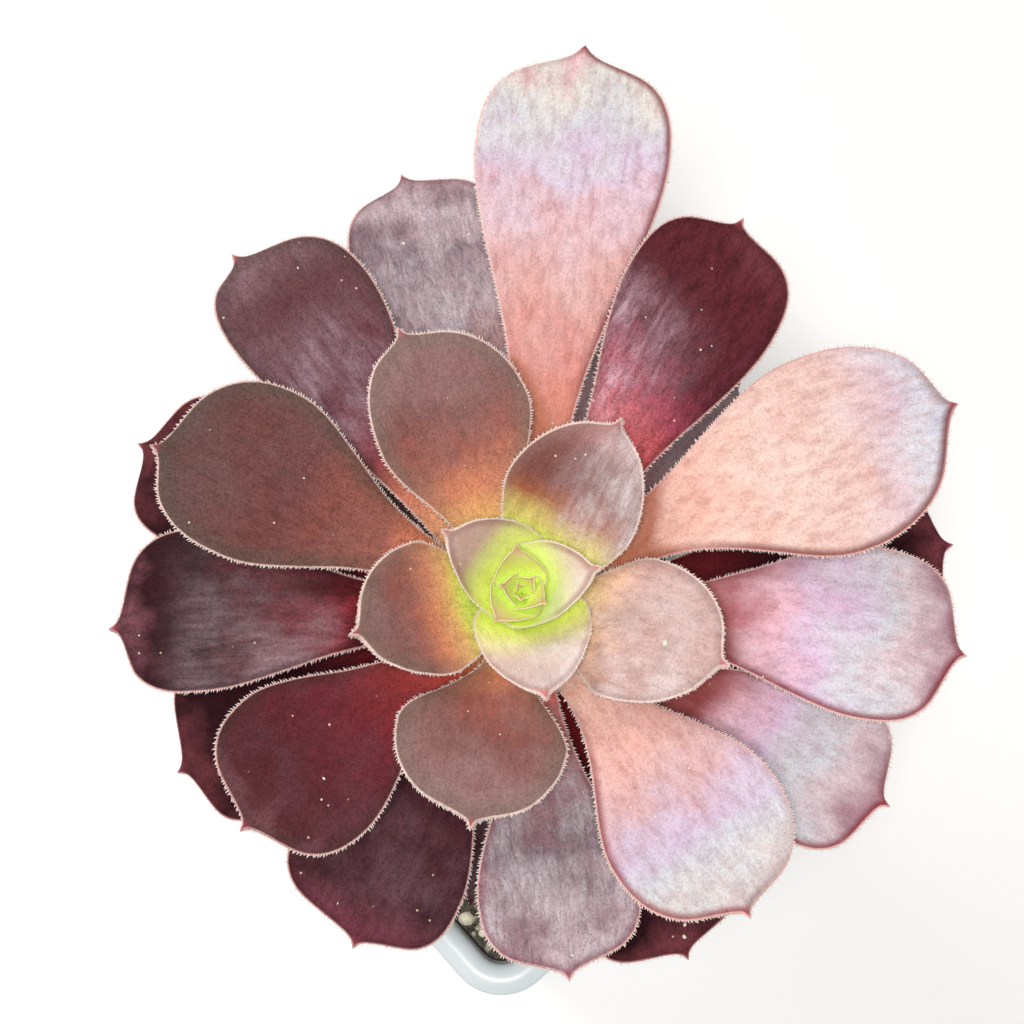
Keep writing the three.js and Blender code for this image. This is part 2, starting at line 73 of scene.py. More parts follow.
def linear(hex_code: str) -> tuple[float, float, float, float]:
    """Turns an sRGB hex colour to linear.

    Args:
        hex_code: six hex digits.

    Returns:
        Linear red, green and blue, and an alpha of 1.
    """
    parts = [int(hex_code[i : i + 2], 16) / 255 for i in (0, 2, 4)]
    red, green, blue = [p / 12.92 if p <= 0.04045 else ((p + 0.055) / 1.055) ** 2.4 for p in parts]
    return red, green, blue, 1.0


def lerp(a: float, b: float, share: float) -> float:
    """Returns the value that lies at a share of the way from a to b."""
    return a + (b - a) * share


def ease(value: Array, low: float, high: float) -> Array:
    """Returns 0 below low and 1 above high, with a smooth rise between them."""
    share = np.clip((value - low) / (high - low), 0.0, 1.0)
    return share * share * (3 - 2 * share)


def plug(tree: bpy.types.NodeTree, node: bpy.types.Node, inputs: dict) -> None:
    """Links a node's inputs to the sockets given for them, and sets those given as values.

    Args:
        tree: the node tree.
        node: the node.
        inputs: a value or a socket for each input, by its name or number.
    """
    for key, value in inputs.items():
        if isinstance(value, Socket):
            tree.links.new(value, node.inputs[key])
        else:
            node.inputs[key].default_value = value


def add_node(
    tree: bpy.types.NodeTree,
    kind: str,
    inputs: dict | None = None,
    out: int | str = 0,
    stops: Sequence[tuple[float, str]] = (),
    **settings,
) -> Socket:
    """Adds a shader node with its settings and links.

    Args:
        tree: the node tree.
        kind: the node's type, without Blender's prefix.
        inputs: a value or a socket for each input, by its name or number.
        out: the output that is wanted, by its name or number.
        stops: places from 0 to 1 and hex colours, for a colour ramp.
        settings: attributes of the node itself.

    Returns:
        The wanted output.
    """
    node = tree.nodes.new(f"ShaderNode{kind}")
    for name, value in settings.items():
        setattr(node, name, value)
    plug(tree, node, inputs or {})
    for _ in stops[2:]:
        node.color_ramp.elements.new(0.5)
    for index, (place, hex_code) in enumerate(stops):
        node.color_ramp.elements[index].position = place
        node.color_ramp.elements[index].color = linear(hex_code)
    return node.outputs[out]


def new_material(name: str) -> tuple[bpy.types.Material, Callable[..., Socket], Callable[[dict], None]]:
    """Makes a material with an empty tree but for its surface shader.

    Args:
        name: the material's name.

    Returns:
        The material, a way to add nodes to its tree, and a way to set its shader's inputs.
    """
    material = bpy.data.materials.new(name)
    material.use_nodes = True
    tree = material.node_tree
    return material, partial(add_node, tree), partial(plug, tree, tree.nodes["Principled BSDF"])


def mesh_piece(
    name: str,
    shape: Shape,
    material: bpy.types.Material,
    kept: dict[str, Array] | None = None,
) -> bpy.types.Object:
    """Makes a smooth mesh object that rides on the part.

    Args:
        name: the piece's name.
        shape: points in millimetres, and faces.
        material: the material of the piece.
        kept: numbers or vectors kept on the points for the material.

    Returns:
        The new object.
    """
    points, faces = shape
    mesh = bpy.data.meshes.new(name)
    mesh.from_pydata((points * MM).tolist(), [], faces)
    mesh.validate()
    mesh.shade_smooth()
    for key, values in (kept or {}).items():
        kind, field_name = ("FLOAT", "value") if values.ndim == 1 else ("FLOAT_VECTOR", "vector")
        data = mesh.attributes.new(key, kind, "POINT").data
        data.foreach_set(field_name, values.astype(np.float32).ravel())
    mesh.materials.append(material)
    piece = bpy.data.objects.new(name, mesh)
    bpy.context.scene.collection.objects.link(piece)
    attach(piece, BODY)
    LOG.info("%s: %d faces", name, len(faces))
    return piece


def join_shapes(shapes: Sequence[Shape]) -> Shape:
    """Puts several shapes into one list of points and faces.

    Args:
        shapes: the shapes.

    Returns:
        One shape.
    """
    faces: Faces = []
    first = 0
    for points, shape_faces in shapes:
        faces.extend(tuple(first + i for i in face) for face in shape_faces)
        first += len(points)
    return np.vstack([points for points, _ in shapes]), faces


def ring_faces(rings: int, count: int, closed_start: bool = True, closed_end: bool = True) -> Faces:
    """Joins rings of points into a tube.

    Args:
        rings: how many rings there are.
        count: how many points each ring has.
        closed_start: whether one face closes the first ring.
        closed_end: whether one face closes the last ring.

    Returns:
        The faces.
    """
    faces: Faces = []
    for ring in range(rings - 1):
        for side in range(count):
            a = ring * count + side
            b = ring * count + (side + 1) % count
            faces.append((a, b, b + count, a + count))
    if closed_start:
        faces.append(tuple(reversed(range(count))))
    if closed_end:
        faces.append(tuple(range((rings - 1) * count, rings * count)))
    return faces


# ---- Finishes -------------------------------------------------------------------------------


class Kept(str, Enum):
    """Names of what the meshes keep on their points for the materials."""

    ALONG = "along"
    ACROSS = "across"
    MARGIN = "margin"
    TIP = "tip"
    UNDERSIDE = "underside"
    SHADED = "shaded"
    PLACE = "place"


@dataclass(frozen=True)
class LeafSkin:
    """Living leaf tissue under a fine felt. It looks soft and a little milky, is green or red
    where it still grows at the base, and turns brown, rose or lilac with age and sun. Its colours
    also carry painted light: glow at the base, sheen on the bloom, and shade at the margins and
    near the leaves above."""

    name: str
    slot: str

    # Colours from the base to the tip, how far soft patches move them, and bruised flecks. The
    # bright colours at the base are the young tissue's own, made brighter still as painted glow
    # against the shade between the leaves.
    stops: tuple[tuple[float, str], ...]
    wander: float = 0.1
    fleck: str = "a88c86"
    fleck_share: float = 0.35

    # The pale felt bloom with painted sheen on it: its colour and share, where along the leaf it
    # lies, to which side it leans, towards the light, how streaky it is and how far it slants.
    bloom_sheen: str = "cdb4bf"
    bloom_sheen_share: float = 0.2
    bloom_sheen_span: tuple[float, float] = (0.15, 1.1)
    sheen_side: float = 0.0
    streak: float = 0.4
    slant: float = 0.0

    # Painted shade in a band inside the margins, where they roll away from the light, and painted
    # shade near the edge of the leaf above, a deep colour that is partly the tissue's own.
    margin_shade: str = "6b5348"
    margin_shade_share: float = 0.35
    margin_shade_width: float = 3.0
    margin_shade_side: float = 0.0
    shade: str = "6c1c20"
    shade_share: float = 0.0

    # The creases' depth, the pale rim, the tip, the marks of dried drops and the underside.
    wrinkle: float = 0.0
    rim: str = "f0ccc2"
    rim_width: float = 0.36
    tip: str = "b04c5c"
    tip_length: float = 2.3
    marks: float = 0.0
    underside: str = "8f6a62"

    # The felt's grain, and how the surface shines.
    grain: float = 0.2
    gloss: float = 0.35
    sheen: float = 0.03

    # Real sizes of the patterns, in millimetres. The felt itself is finer than the picture can
    # show, so its grain is drawn as coarse as it needs to be seen.
    FELT = 0.5
    FIBRE_LENGTH = 7.0
    FIBRE_WIDTH = 1.3
    CREASE_LENGTH = 3.6
    CREASE_WIDTH = 1.3
    FLECK_LENGTH = 3.2
    FLECK_WIDTH = 1.5
    PATCH = 7.0
    DROP = 4.5
    SPECK_SPACING = 2.7
    SPECK_SIZE = 0.21
    FOLD_DEPTH = 0.45
    FELT_DEPTH = 0.06

    # Half the thickness of the drawn lines, as a share of the noise's range.
    FELT_LINE = 0.17
    CREASE_LINE = 0.15

    # What one unit of grain does: the felt darkens and lightens the colour, and the folds and
    # the felt stand out.
    FELT_DARKENS = 1.5
    FELT_LIGHTENS = 0.6
    FOLD_STRENGTH = 4.0
    FELT_STRENGTH = 3.5

    # The folds: patches rise, and creases sink and lose their bloom and painted sheen with every
    # unit of wrinkle.
    CREASE_SINKS = 0.35
    CREASE_BARES = 0.3
    PATCH_RISE = 1.6

    # Living skin: satin where its wax is whole, duller where the wax is thick, and a little
    # light goes into it.
    ROUGHNESS = (0.46, 0.62)
    IOR = 1.4
    SHEEN_ROUGHNESS = 0.5
    SHEEN_TINT = "ffe9e6"
    SCATTER = 0.12
    SCATTER_COLOURS = (1.0, 0.5, 0.3)
    SCATTER_DEPTH = 1.2

    # Where along the leaf its colours start to wander, the painted shade near the leaf above fades,
    # the painted shade at its margin starts, and the bloom and painted sheen fade in and out.
    WANDER_SPAN = (0.2, 0.7)
    SHADE_SPAN = (0.4, 0.62)
    SHADE_BEYOND = 0.25
    MARGIN_SHADE_SPAN = (0.22, 0.5)
    MARGIN_SHADE_AT_BASE = 0.15
    BLOOM_SHEEN_RISE = 0.15
    BLOOM_SHEEN_FALL = 0.2

    # Parts of the noise's range that make soft changes.
    WANDER_RANGE = (0.3, 0.7)
    FLECK_RANGE = (0.38, 0.72)
    ROUGHNESS_RANGE = (0.35, 0.65)
    SHADE_RANGE = (0.65, 1.35)
    SHADE_PATCHES = 0.9
    STREAK_RANGE = (0.32, 0.68)
    CLOUD_RANGE = (0.36, 0.62)
    CLOUD_LEAST = 0.35

    # Dried drops and dust.
    DROP_LEVEL = 0.6
    DROP_LINE = (0.012, 0.004)
    DROP_MIDDLE = 0.66
    DROP_LINE_COLOUR = "a87c80"
    DROP_COLOUR = "d8a8a8"
    DUST_RANGE = (0.5, 0.7)
    DUST_SHARE = 0.9
    DUST_COLOUR = "f2dfc4"

    EDGE_SHARE = 0.85
    UNDERSIDE_SHARE = 0.8

    def material(self) -> bpy.types.Material:
        """Builds the material.

        Returns:
            The leaf's material.
        """
        material, add, shade = new_material(self.name)
        numbers = [kept for kept in Kept if kept is not Kept.PLACE]
        read = {kept: add("Attribute", out="Fac", attribute_name=kept.value) for kept in numbers}
        place = add("Attribute", out="Vector", attribute_name=Kept.PLACE.value)
        felt = self.curls(add, place, (self.FELT, self.FELT), self.FELT_LINE)
        creases = self.curls(add, place, (self.CREASE_LENGTH, self.CREASE_WIDTH), self.CREASE_LINE)
        fibres = self.stretched(add, place, (self.FIBRE_LENGTH, self.FIBRE_WIDTH), 0.2)
        patches = add("TexNoise", {"Vector": place, "Scale": 1 / self.PATCH, "Detail": 3.0})
        slanted = {0: read[Kept.ACROSS], 1: -self.slant, 2: read[Kept.ALONG]}
        along = add("Math", slanted, operation="MULTIPLY_ADD")

        colour = self.tissue(add, along, place, patches)
        # The pale felt bloom, with painted sheen and highlights on it.
        colour = self.bloomed_and_sheened(add, (along, read[Kept.ACROSS]), colour, (fibres, patches, creases))
        colour = self.shaded(add, read, colour, patches)
        colour = self.edged(add, read, colour)
        colour = self.weathered(add, place, colour)
        below = add("Math", {0: read[Kept.UNDERSIDE], 1: self.UNDERSIDE_SHARE}, operation="MULTIPLY")
        inputs = {0: below, 6: colour, 7: linear(self.underside)}
        colour = add("Mix", inputs, out=2, data_type="RGBA")
        dark = 1 - self.FELT_DARKENS * self.grain
        light = 1 + self.FELT_LIGHTENS * self.grain
        grain = add("MapRange", {0: felt, 3: dark, 4: light})
        inputs = {0: 1.0, 6: colour, 7: grain}
        colour = add("Mix", inputs, out=2, data_type="RGBA", blend_type="MULTIPLY")
        low, high = self.ROUGHNESS_RANGE
        shiny, dull = self.ROUGHNESS
        shade({
            "Base Color": colour,
            "Normal": self.relief(add, felt, (fibres, patches, creases)),
            "Roughness": add("MapRange", {0: patches, 1: low, 2: high, 3: shiny, 4: dull}),
            "IOR": self.IOR,
            "Specular IOR Level": self.gloss,
            "Sheen Weight": self.sheen,
            "Sheen Roughness": self.SHEEN_ROUGHNESS,
            "Sheen Tint": linear(self.SHEEN_TINT),
            "Subsurface Weight": self.SCATTER,
            "Subsurface Radius": self.SCATTER_COLOURS,
            "Subsurface Scale": self.SCATTER_DEPTH * MM,
        })
        return material

    def stretched(
        self,
        add: Callable[..., Socket],
        place: Socket,
        size: tuple[float, float],
        distortion: float = 0.0,
        detail: float = 6.0,
        roughness: float = 0.6,
    ) -> Socket:
        """Draws a soft pattern that is drawn out along the leaf.

        Args:
            add: adds a node to the material.
            place: place on the flattened leaf, in millimetres.
            size: size of the pattern along and across the leaf.
            distortion: how much it curls.
            detail: how many finer layers it has.
            roughness: how strong they are.

        Returns:
            The pattern, mostly from 0.3 to 0.7.
        """
        scale = (1 / size[0], 1 / size[1], 1.0)
        return add("TexNoise", {
            "Vector": add("VectorMath", {0: place, 1: scale}, operation="MULTIPLY"),
            "Scale": 1.0,
            "Detail": detail,
            "Roughness": roughness,
            "Distortion": distortion,
        })

    def curls(
        self, add: Callable[..., Socket], place: Socket, size: tuple[float, float], thickness: float
    ) -> Socket:
        """Draws thin, curling lines.

        Args:
            add: adds a node to the material.
            place: place on the flattened leaf, in millimetres.
            size: how far the lines run before they turn, along and across the leaf.
            thickness: half the thickness of a line, as a share of the noise's range.

        Returns:
            1 on a line and 0 away from it.
        """
        waves = self.stretched(add, place, size, distortion=0.8, detail=2.0, roughness=0.5)
        away = add("Math", {0: waves, 1: 0.5}, operation="SUBTRACT")
        away = add("Math", {0: away}, operation="ABSOLUTE")
        return add("MapRange", {0: away, 1: thickness, 2: 0.0}, interpolation_type="SMOOTHSTEP")

    def relief(
        self, add: Callable[..., Socket], felt: Socket, patterns: tuple[Socket, Socket, Socket]
    ) -> Socket:
        """Raises the skin's folds, and the felt on them.

        Args:
            add: adds a node to the material.
            felt: the felt.
            patterns: streaks along the leaf, soft patches and creases.

        Returns:
            The surface's direction.
        """
        fibres, patches, creases = patterns
        sunk = -self.CREASE_SINKS * self.wrinkle
        folds = add("Math", {0: patches, 1: self.PATCH_RISE, 2: fibres}, operation="MULTIPLY_ADD")
        folds = add("Math", {0: creases, 1: sunk, 2: folds}, operation="MULTIPLY_ADD")
        direction = add("Bump", {
            "Height": folds,
            "Strength": self.FOLD_STRENGTH * self.grain,
            "Distance": self.FOLD_DEPTH * MM,
        })
        return add("Bump", {
            "Height": felt,
            "Strength": self.FELT_STRENGTH * self.grain,
            "Distance": self.FELT_DEPTH * MM,
            "Normal": direction,
        })

    def tissue(self, add: Callable[..., Socket], along: Socket, place: Socket, patches: Socket) -> Socket:
        """Colours the blade from its base to its tip, with darker flecks where it is bruised.

        Args:
            add: adds a node to the material.
            along: place along the leaf, from 0 at its base to 1 at its tip.
            place: place on the flattened leaf, in millimetres.
            patches: soft patches.

        Returns:
            The colour.
        """
        low, high = self.WANDER_RANGE
        moved = add("MapRange", {0: patches, 1: low, 2: high, 3: -self.wander, 4: self.wander})
        start, end = self.WANDER_SPAN
        loose = add("MapRange", {0: along, 1: start, 2: end})
        along = add("Math", {0: moved, 1: loose, 2: along}, operation="MULTIPLY_ADD")
        colour = add("ValToRGB", {0: along}, stops=self.stops)
        flecks = self.stretched(add, place, (self.FLECK_LENGTH, self.FLECK_WIDTH))
        low, high = self.FLECK_RANGE
        inputs = {0: flecks, 1: low, 2: high, 4: self.fleck_share}
        share = add("MapRange", inputs, interpolation_type="SMOOTHSTEP")
        inputs = {0: share, 6: colour, 7: linear(self.fleck)}
        return add("Mix", inputs, out=2, data_type="RGBA", blend_type="MULTIPLY")

    def shaded(self, add: Callable[..., Socket], read: dict, colour: Socket, patches: Socket) -> Socket:
        """Paints shade near the edge of the leaf above, as a deep colour that is partly the tissue's own.

        Args:
            add: adds a node to the material.
            read: what the mesh keeps on its points.
            colour: the colour so far.
            patches: soft patches.

        Returns:
            The colour.
        """
        start, end = self.SHADE_SPAN
        inputs = {0: read[Kept.ALONG], 1: start, 2: end, 3: 1.0, 4: self.SHADE_BEYOND}
        near_base = add("MapRange", inputs)
        kept = add("Math", {0: read[Kept.SHADED], 1: near_base}, operation="MULTIPLY")
        inputs = {0: patches, 1: self.SHADE_PATCHES, 2: kept}
        loose = add("Math", inputs, operation="MULTIPLY_ADD")
        low, high = self.SHADE_RANGE
        inputs = {0: loose, 1: low, 2: high, 4: self.shade_share}
        share = add("MapRange", inputs, interpolation_type="SMOOTHSTEP")
        return add("Mix", {0: share, 6: colour, 7: linear(self.shade)}, out=2, data_type="RGBA")

    def bloomed_and_sheened(
        self,
        add: Callable[..., Socket],
        where: tuple[Socket, Socket],
        colour: Socket,
        patterns: tuple[Socket, Socket, Socket],
    ) -> Socket:
        """Lays the pale felt bloom, with painted satin sheen leaning to the lit side, over the blade in
        streaky patches, thin in the creases.

        Args:
            add: adds a node to the material.
            where: place along and across the leaf.
            colour: the colour so far.
            patterns: streaks along the leaf, soft patches and creases.

        Returns:
            The colour.
        """
        along, across = where
        fibres, patches, creases = patterns
        bared = -self.CREASE_BARES * self.wrinkle
        smooth = add("Math", {0: creases, 1: bared, 2: 1.0}, operation="MULTIPLY_ADD")
        low, high = self.STREAK_RANGE
        streaks = add("MapRange", {0: fibres, 1: low, 2: high, 3: 1 - self.streak})
        start, end = self.bloom_sheen_span
        low, high = self.CLOUD_RANGE
        cloud, rise, fall = (
            add("MapRange", inputs, interpolation_type="SMOOTHSTEP")
            for inputs in (
                {0: patches, 1: low, 2: high, 3: self.CLOUD_LEAST},
                {0: along, 1: start, 2: start + self.BLOOM_SHEEN_RISE},
                {0: along, 1: end, 2: end - self.BLOOM_SHEEN_FALL},
            )
        )
        side = add("Math", {0: across, 1: self.sheen_side, 2: 1.0}, operation="MULTIPLY_ADD")
        share: Socket | float = self.bloom_sheen_share
        for part in (streaks, cloud, smooth, rise, fall, side):
            share = add("Math", {0: part, 1: share}, operation="MULTIPLY", use_clamp=True)
        return add("Mix", {0: share, 6: colour, 7: linear(self.bloom_sheen)}, out=2, data_type="RGBA")

    def edged(self, add: Callable[..., Socket], read: dict, colour: Socket) -> Socket:
        """Paints shade in a band inside one margin or both, and colours the tip and the pale rim.

        Args:
            add: adds a node to the material.
            read: what the mesh keeps on its points.
            colour: the colour so far.

        Returns:
            The colour.
        """
        inputs = {0: read[Kept.ACROSS], 1: self.margin_shade_side, 2: 1.0}
        side = add("Math", inputs, operation="MULTIPLY_ADD", use_clamp=True)
        start, end = self.MARGIN_SHADE_SPAN
        inputs = {0: read[Kept.ALONG], 1: start, 2: end, 3: self.MARGIN_SHADE_AT_BASE, 4: self.margin_shade_share}
        from_base = add("MapRange", inputs)
        one_sided = add("Math", {0: side, 1: from_base}, operation="MULTIPLY")
        # Painted shade in a band inside the margins, then the tip's colour and the pale rim.
        layers = (
            (Kept.MARGIN, self.margin_shade_width, 0.3, one_sided, self.margin_shade),
            (Kept.TIP, self.tip_length, 0.15 * self.tip_length, self.EDGE_SHARE, self.tip),
            (Kept.MARGIN, self.rim_width, 0.4 * self.rim_width, self.EDGE_SHARE, self.rim),
        )
        for kept, zero_at, one_at, most, hex_code in layers:
            inputs = {0: read[kept], 1: zero_at, 2: one_at, 4: most}
            share = add("MapRange", inputs, interpolation_type="SMOOTHSTEP")
            colour = add("Mix", {0: share, 6: colour, 7: linear(hex_code)}, out=2, data_type="RGBA")
        return colour

    def weathered(self, add: Callable[..., Socket], place: Socket, colour: Socket) -> Socket:
        """Adds the closed outlines of dried drops, and scattered grains of dust.

        Args:
            add: adds a node to the material.
            place: place on the flattened leaf, in millimetres.
            colour: the colour so far.

        Returns:
            The colour.
        """
        if self.marks:
            drops = add("TexNoise", {"Vector": place, "Scale": 1 / self.DROP, "Detail": 1.5})
            away = add("Math", {0: drops, 1: self.DROP_LEVEL}, operation="SUBTRACT")
            away = add("Math", {0: away}, operation="ABSOLUTE")
            outer, inner = self.DROP_LINE
            inputs = {0: away, 1: outer, 2: inner, 4: self.marks}
            line = add("MapRange", inputs, interpolation_type="SMOOTHSTEP")
            inputs = {0: line, 6: colour, 7: linear(self.DROP_LINE_COLOUR)}
            colour = add("Mix", inputs, out=2, data_type="RGBA")
            inputs = {0: drops, 1: self.DROP_LEVEL, 2: self.DROP_MIDDLE, 4: 0.5 * self.marks}
            inside = add("MapRange", inputs)
            inputs = {0: inside, 6: colour, 7: linear(self.DROP_COLOUR)}
            colour = add("Mix", inputs, out=2, data_type="RGBA")
        cells = {"Vector": place, "Scale": 1 / self.SPECK_SPACING}
        size = self.SPECK_SIZE / self.SPECK_SPACING
        near = add("MapRange", {0: add("TexVoronoi", cells, out="Distance"), 1: size, 2: 0.5 * size})
        chosen = add("SeparateColor", {0: add("TexVoronoi", cells, out="Color")})
        low, high = self.DUST_RANGE
        chosen = add("MapRange", {0: chosen, 1: low, 2: high, 4: self.DUST_SHARE})
        share = add("Math", {0: near, 1: chosen}, operation="MULTIPLY")
        inputs = {0: share, 6: colour, 7: linear(self.DUST_COLOUR)}
        return add("Mix", inputs, out=2, data_type="RGBA")


class Tone(Enum):
    """The finishes of the leaves, from the growing heart outward."""

    BUD = LeafSkin(
        "leaf_skin_bud", "bud_green",
        ((0.05, "f0fc7c"), (0.4, "e0f860"), (0.62, "ccd858"), (0.8, "ccbc74"), (0.95, "d89880")),
        wander=0.02, fleck_share=0.05, bloom_sheen="f4fad8", bloom_sheen_share=0.1, margin_shade="a89450",
        margin_shade_share=0.45, margin_shade_width=0.4, rim="f2dcac", rim_width=0.15, tip="e09080", tip_length=0.6,
        underside="c0ec50", grain=0.06,
    )
    # Lit and shaded copies of the heart's young tissue: a white painted highlight on HEART_LIT, and
    # painted shade on HEART_SHADED.
    HEART_LIT = LeafSkin(
        "leaf_skin_heart_lit", "leaf_heart",
        ((0.05, "dcf850"), (0.3, "e0f470"), (0.46, "dcd894"), (0.66, "dcc4ac"), (0.95, "dca49c")),
        wander=0.03, fleck_share=0.08, bloom_sheen="fcfcf8", bloom_sheen_share=0.4, sheen_side=-0.4,
        margin_shade="946458", margin_shade_share=0.6, margin_shade_width=1.5, rim="f8e8d4", rim_width=0.2, tip="d87478",
        tip_length=1.3, underside="b4d048", grain=0.06, wrinkle=0.3,
    )
    HEART_SHADED = LeafSkin(
        "leaf_skin_heart_shaded", "leaf_heart",
        ((0.05, "dcf850"), (0.28, "ecfc60"), (0.46, "dce078"), (0.62, "c8a08c"), (0.78, "cca498"),
         (0.94, "ecc0bc")),
        wander=0.03, fleck_share=0.15, bloom_sheen="d8ccc8", bloom_sheen_share=0.3, margin_shade="8c6458",
        margin_shade_share=0.55, margin_shade_width=1.5, rim="f6e0d0", rim_width=0.2, tip="d87c80", tip_length=1.3,
        underside="b4d048", grain=0.08, wrinkle=0.3,
    )
    HEART_OUTER = LeafSkin(
        "leaf_skin_heart_outer", "leaf_heart",
        ((0.05, "dcf850"), (0.18, "f0fc78"), (0.34, "f4e8b4"), (0.5, "e6c8bc"), (0.85, "ccb0ac"),
         (0.96, "e09c98")),
        wander=0.03, fleck_share=0.2, bloom_sheen="f4f0f2", bloom_sheen_share=0.5, sheen_side=0.8,
        bloom_sheen_span=(0.3, 1.2), margin_shade="a07c74", margin_shade_share=0.5, margin_shade_width=1.3, rim="f6dcd4",
        rim_width=0.24, tip="d86c6c", underside="b0a868", grain=0.08, wrinkle=0.6,
    )
    BRONZE = LeafSkin(
        "leaf_skin_bronze", "leaf_brown",
        ((0.04, "dcfc64"), (0.16, "dcec6c"), (0.26, "f4bc74"), (0.36, "e08c64"), (0.5, "a45a4c"),
         (0.66, "88504c"), (0.95, "987072")),
        wander=0.06, bloom_sheen="b4a8a4", bloom_sheen_share=0.18, margin_shade="7c6a60", margin_shade_share=0.6, margin_shade_width=4.0,
        rim="f2d6cc", underside="8c7060", wrinkle=0.2, grain=0.16,
    )
    # A lit copy of the bronze tissue: its pale sheen is a painted highlight leaning to one side.
    BRONZE_LIT = LeafSkin(
        "leaf_skin_bronze_lit", "leaf_brown",
        ((0.08, "dcfc58"), (0.22, "dcf868"), (0.32, "dccc74"), (0.44, "a86444"), (0.56, "844c44"),
         (0.74, "84544f"), (0.95, "c89494")),
        wander=0.05, bloom_sheen="e8dee2", bloom_sheen_share=0.52, sheen_side=-1.8, streak=0.7,
        bloom_sheen_span=(0.25, 1.2), margin_shade="8c706c", margin_shade_share=0.4, margin_shade_width=2.4, rim="f4dace",
        underside="94786c", grain=0.12, wrinkle=0.7,
    )
    SAND = LeafSkin(
        "leaf_skin_sand", "leaf_pale",
        ((0.06, "f4f87c"), (0.18, "fce494"), (0.32, "fac8a8"), (0.48, "cc9c94"), (0.7, "c8a49e"),
         (0.95, "d0a8a6")),
        wander=0.06, fleck="b0908c", fleck_share=0.5, bloom_sheen="f0e8ea", bloom_sheen_share=0.5,
        sheen_side=-0.5, margin_shade="9c8078", margin_shade_share=0.55, margin_shade_width=1.8, rim="f8e0d8", tip="d0606c",
        underside="a08474", grain=0.12, wrinkle=0.5,
    )
    # From PEACH to LILAC, the pale lilac and blue-grey stops towards the tip are partly the leaves' own
    # colour and partly painted sheen of the light on the felt.
    PEACH = LeafSkin(
        "leaf_skin_peach", "leaf_pale",
        ((0.07, "fce080"), (0.18, "ffc89c"), (0.3, "f8bcaa"), (0.55, "e8c0b4"), (0.74, "e0bcb6"),
         (0.85, "d0b8cc"), (0.93, "c4cce0"), (0.99, "bcacb4")),
        wander=0.05, fleck="c49490", fleck_share=0.6, bloom_sheen="fcece2", bloom_sheen_share=0.4, margin_shade="7c3c38",
        margin_shade_share=0.9, margin_shade_width=1.7, margin_shade_side=-0.9, shade="a04820", shade_share=0.75,
        rim="e4a8a4", tip="b04858", marks=0.12, underside="a88074", grain=0.11, wrinkle=0.3,
    )
    ROSE = LeafSkin(
        "leaf_skin_rose", "leaf_pale",
        ((0.12, "ffe0c8"), (0.27, "ffccbc"), (0.42, "f4bcb0"), (0.58, "d8b0b4"), (0.7, "d0bcd8"),
         (0.8, "ccd0dc"), (0.9, "d4d4d4"), (0.98, "d0b4ba")),
        wander=0.06, fleck="c49898", fleck_share=0.5, bloom_sheen="f4e4e4", bloom_sheen_share=0.22,
        margin_shade="8c3c44", margin_shade_share=0.85, margin_shade_width=1.6, margin_shade_side=-0.9, rim="ecbcb4", tip="a84858",
        marks=0.16, underside="a07c74", grain=0.11, wrinkle=0.3,
    )
    BLUSH = LeafSkin(
        "leaf_skin_blush", "leaf_pale",
        ((0.28, "dc8468"), (0.4, "dc8c82"), (0.54, "e0aca8"), (0.66, "e0bcc6"), (0.75, "d6c6de"),
         (0.84, "d2d4dc"), (0.92, "dcdad4"), (0.98, "dcb8bc")),
        wander=0.06, fleck="bc8c8c", fleck_share=0.5, bloom_sheen="f8ecec", margin_shade="7c2c34", margin_shade_share=0.85,
        margin_shade_width=1.6, margin_shade_side=-0.95, shade="b06030", shade_share=0.6, rim="f0c4bc", tip="984050",
        marks=0.16, underside="a07c74", grain=0.11, wrinkle=0.3,
    )
    LILAC = LeafSkin(
        "leaf_skin_lilac", "leaf_pale",
        ((0.18, "c86450"), (0.32, "b85850"), (0.43, "b46068"), (0.52, "ecb8c8"), (0.64, "dcc0e0"),
         (0.76, "d0d4dc"), (0.87, "d8c4cc"), (0.96, "9c6474")),
        wander=0.07, fleck="b88c94", fleck_share=0.45, bloom_sheen="f4ecf4", bloom_sheen_share=0.25,
        margin_shade="842c38", margin_shade_share=0.9, margin_shade_width=1.6, margin_shade_side=-0.8, shade="84281e",
        shade_share=0.75, rim="f2c0bc", tip="a03c50", marks=0.2, underside="987474", grain=0.11,
        wrinkle=0.3,
    )
    MAUVE = LeafSkin(
        "leaf_skin_mauve", "leaf_mauve",
        ((0.12, "ff9080"), (0.3, "e47c78"), (0.44, "94505e"), (0.6, "683c4c"), (0.8, "885e6c"),
         (0.95, "a47c88")),
        fleck="845c68", fleck_share=0.6, bloom_sheen="e8e4ea", bloom_sheen_share=0.62, margin_shade="783c4c",
        margin_shade_share=0.6, margin_shade_width=1.6, shade="702030", shade_share=0.1, rim="f2c0bc", tip="a8485c",
        marks=0.2, underside="805c60", grain=0.16, wrinkle=0.9,
    )
    ASH = LeafSkin(
        "leaf_skin_ash", "leaf_mauve",
        ((0.3, "8c4c50"), (0.5, "a47878"), (0.62, "b09ca4"), (0.76, "70505c"), (0.95, "ac8c96")),
        wander=0.12, fleck="6c4c5c", fleck_share=0.7, bloom_sheen="dcd2da", bloom_sheen_share=0.7, margin_shade="683040",
        margin_shade_share=0.5, margin_shade_width=1.2, rim="e0b0ac", tip="984458", marks=0.2, underside="805c60",
        grain=0.16, wrinkle=1.0,
    )
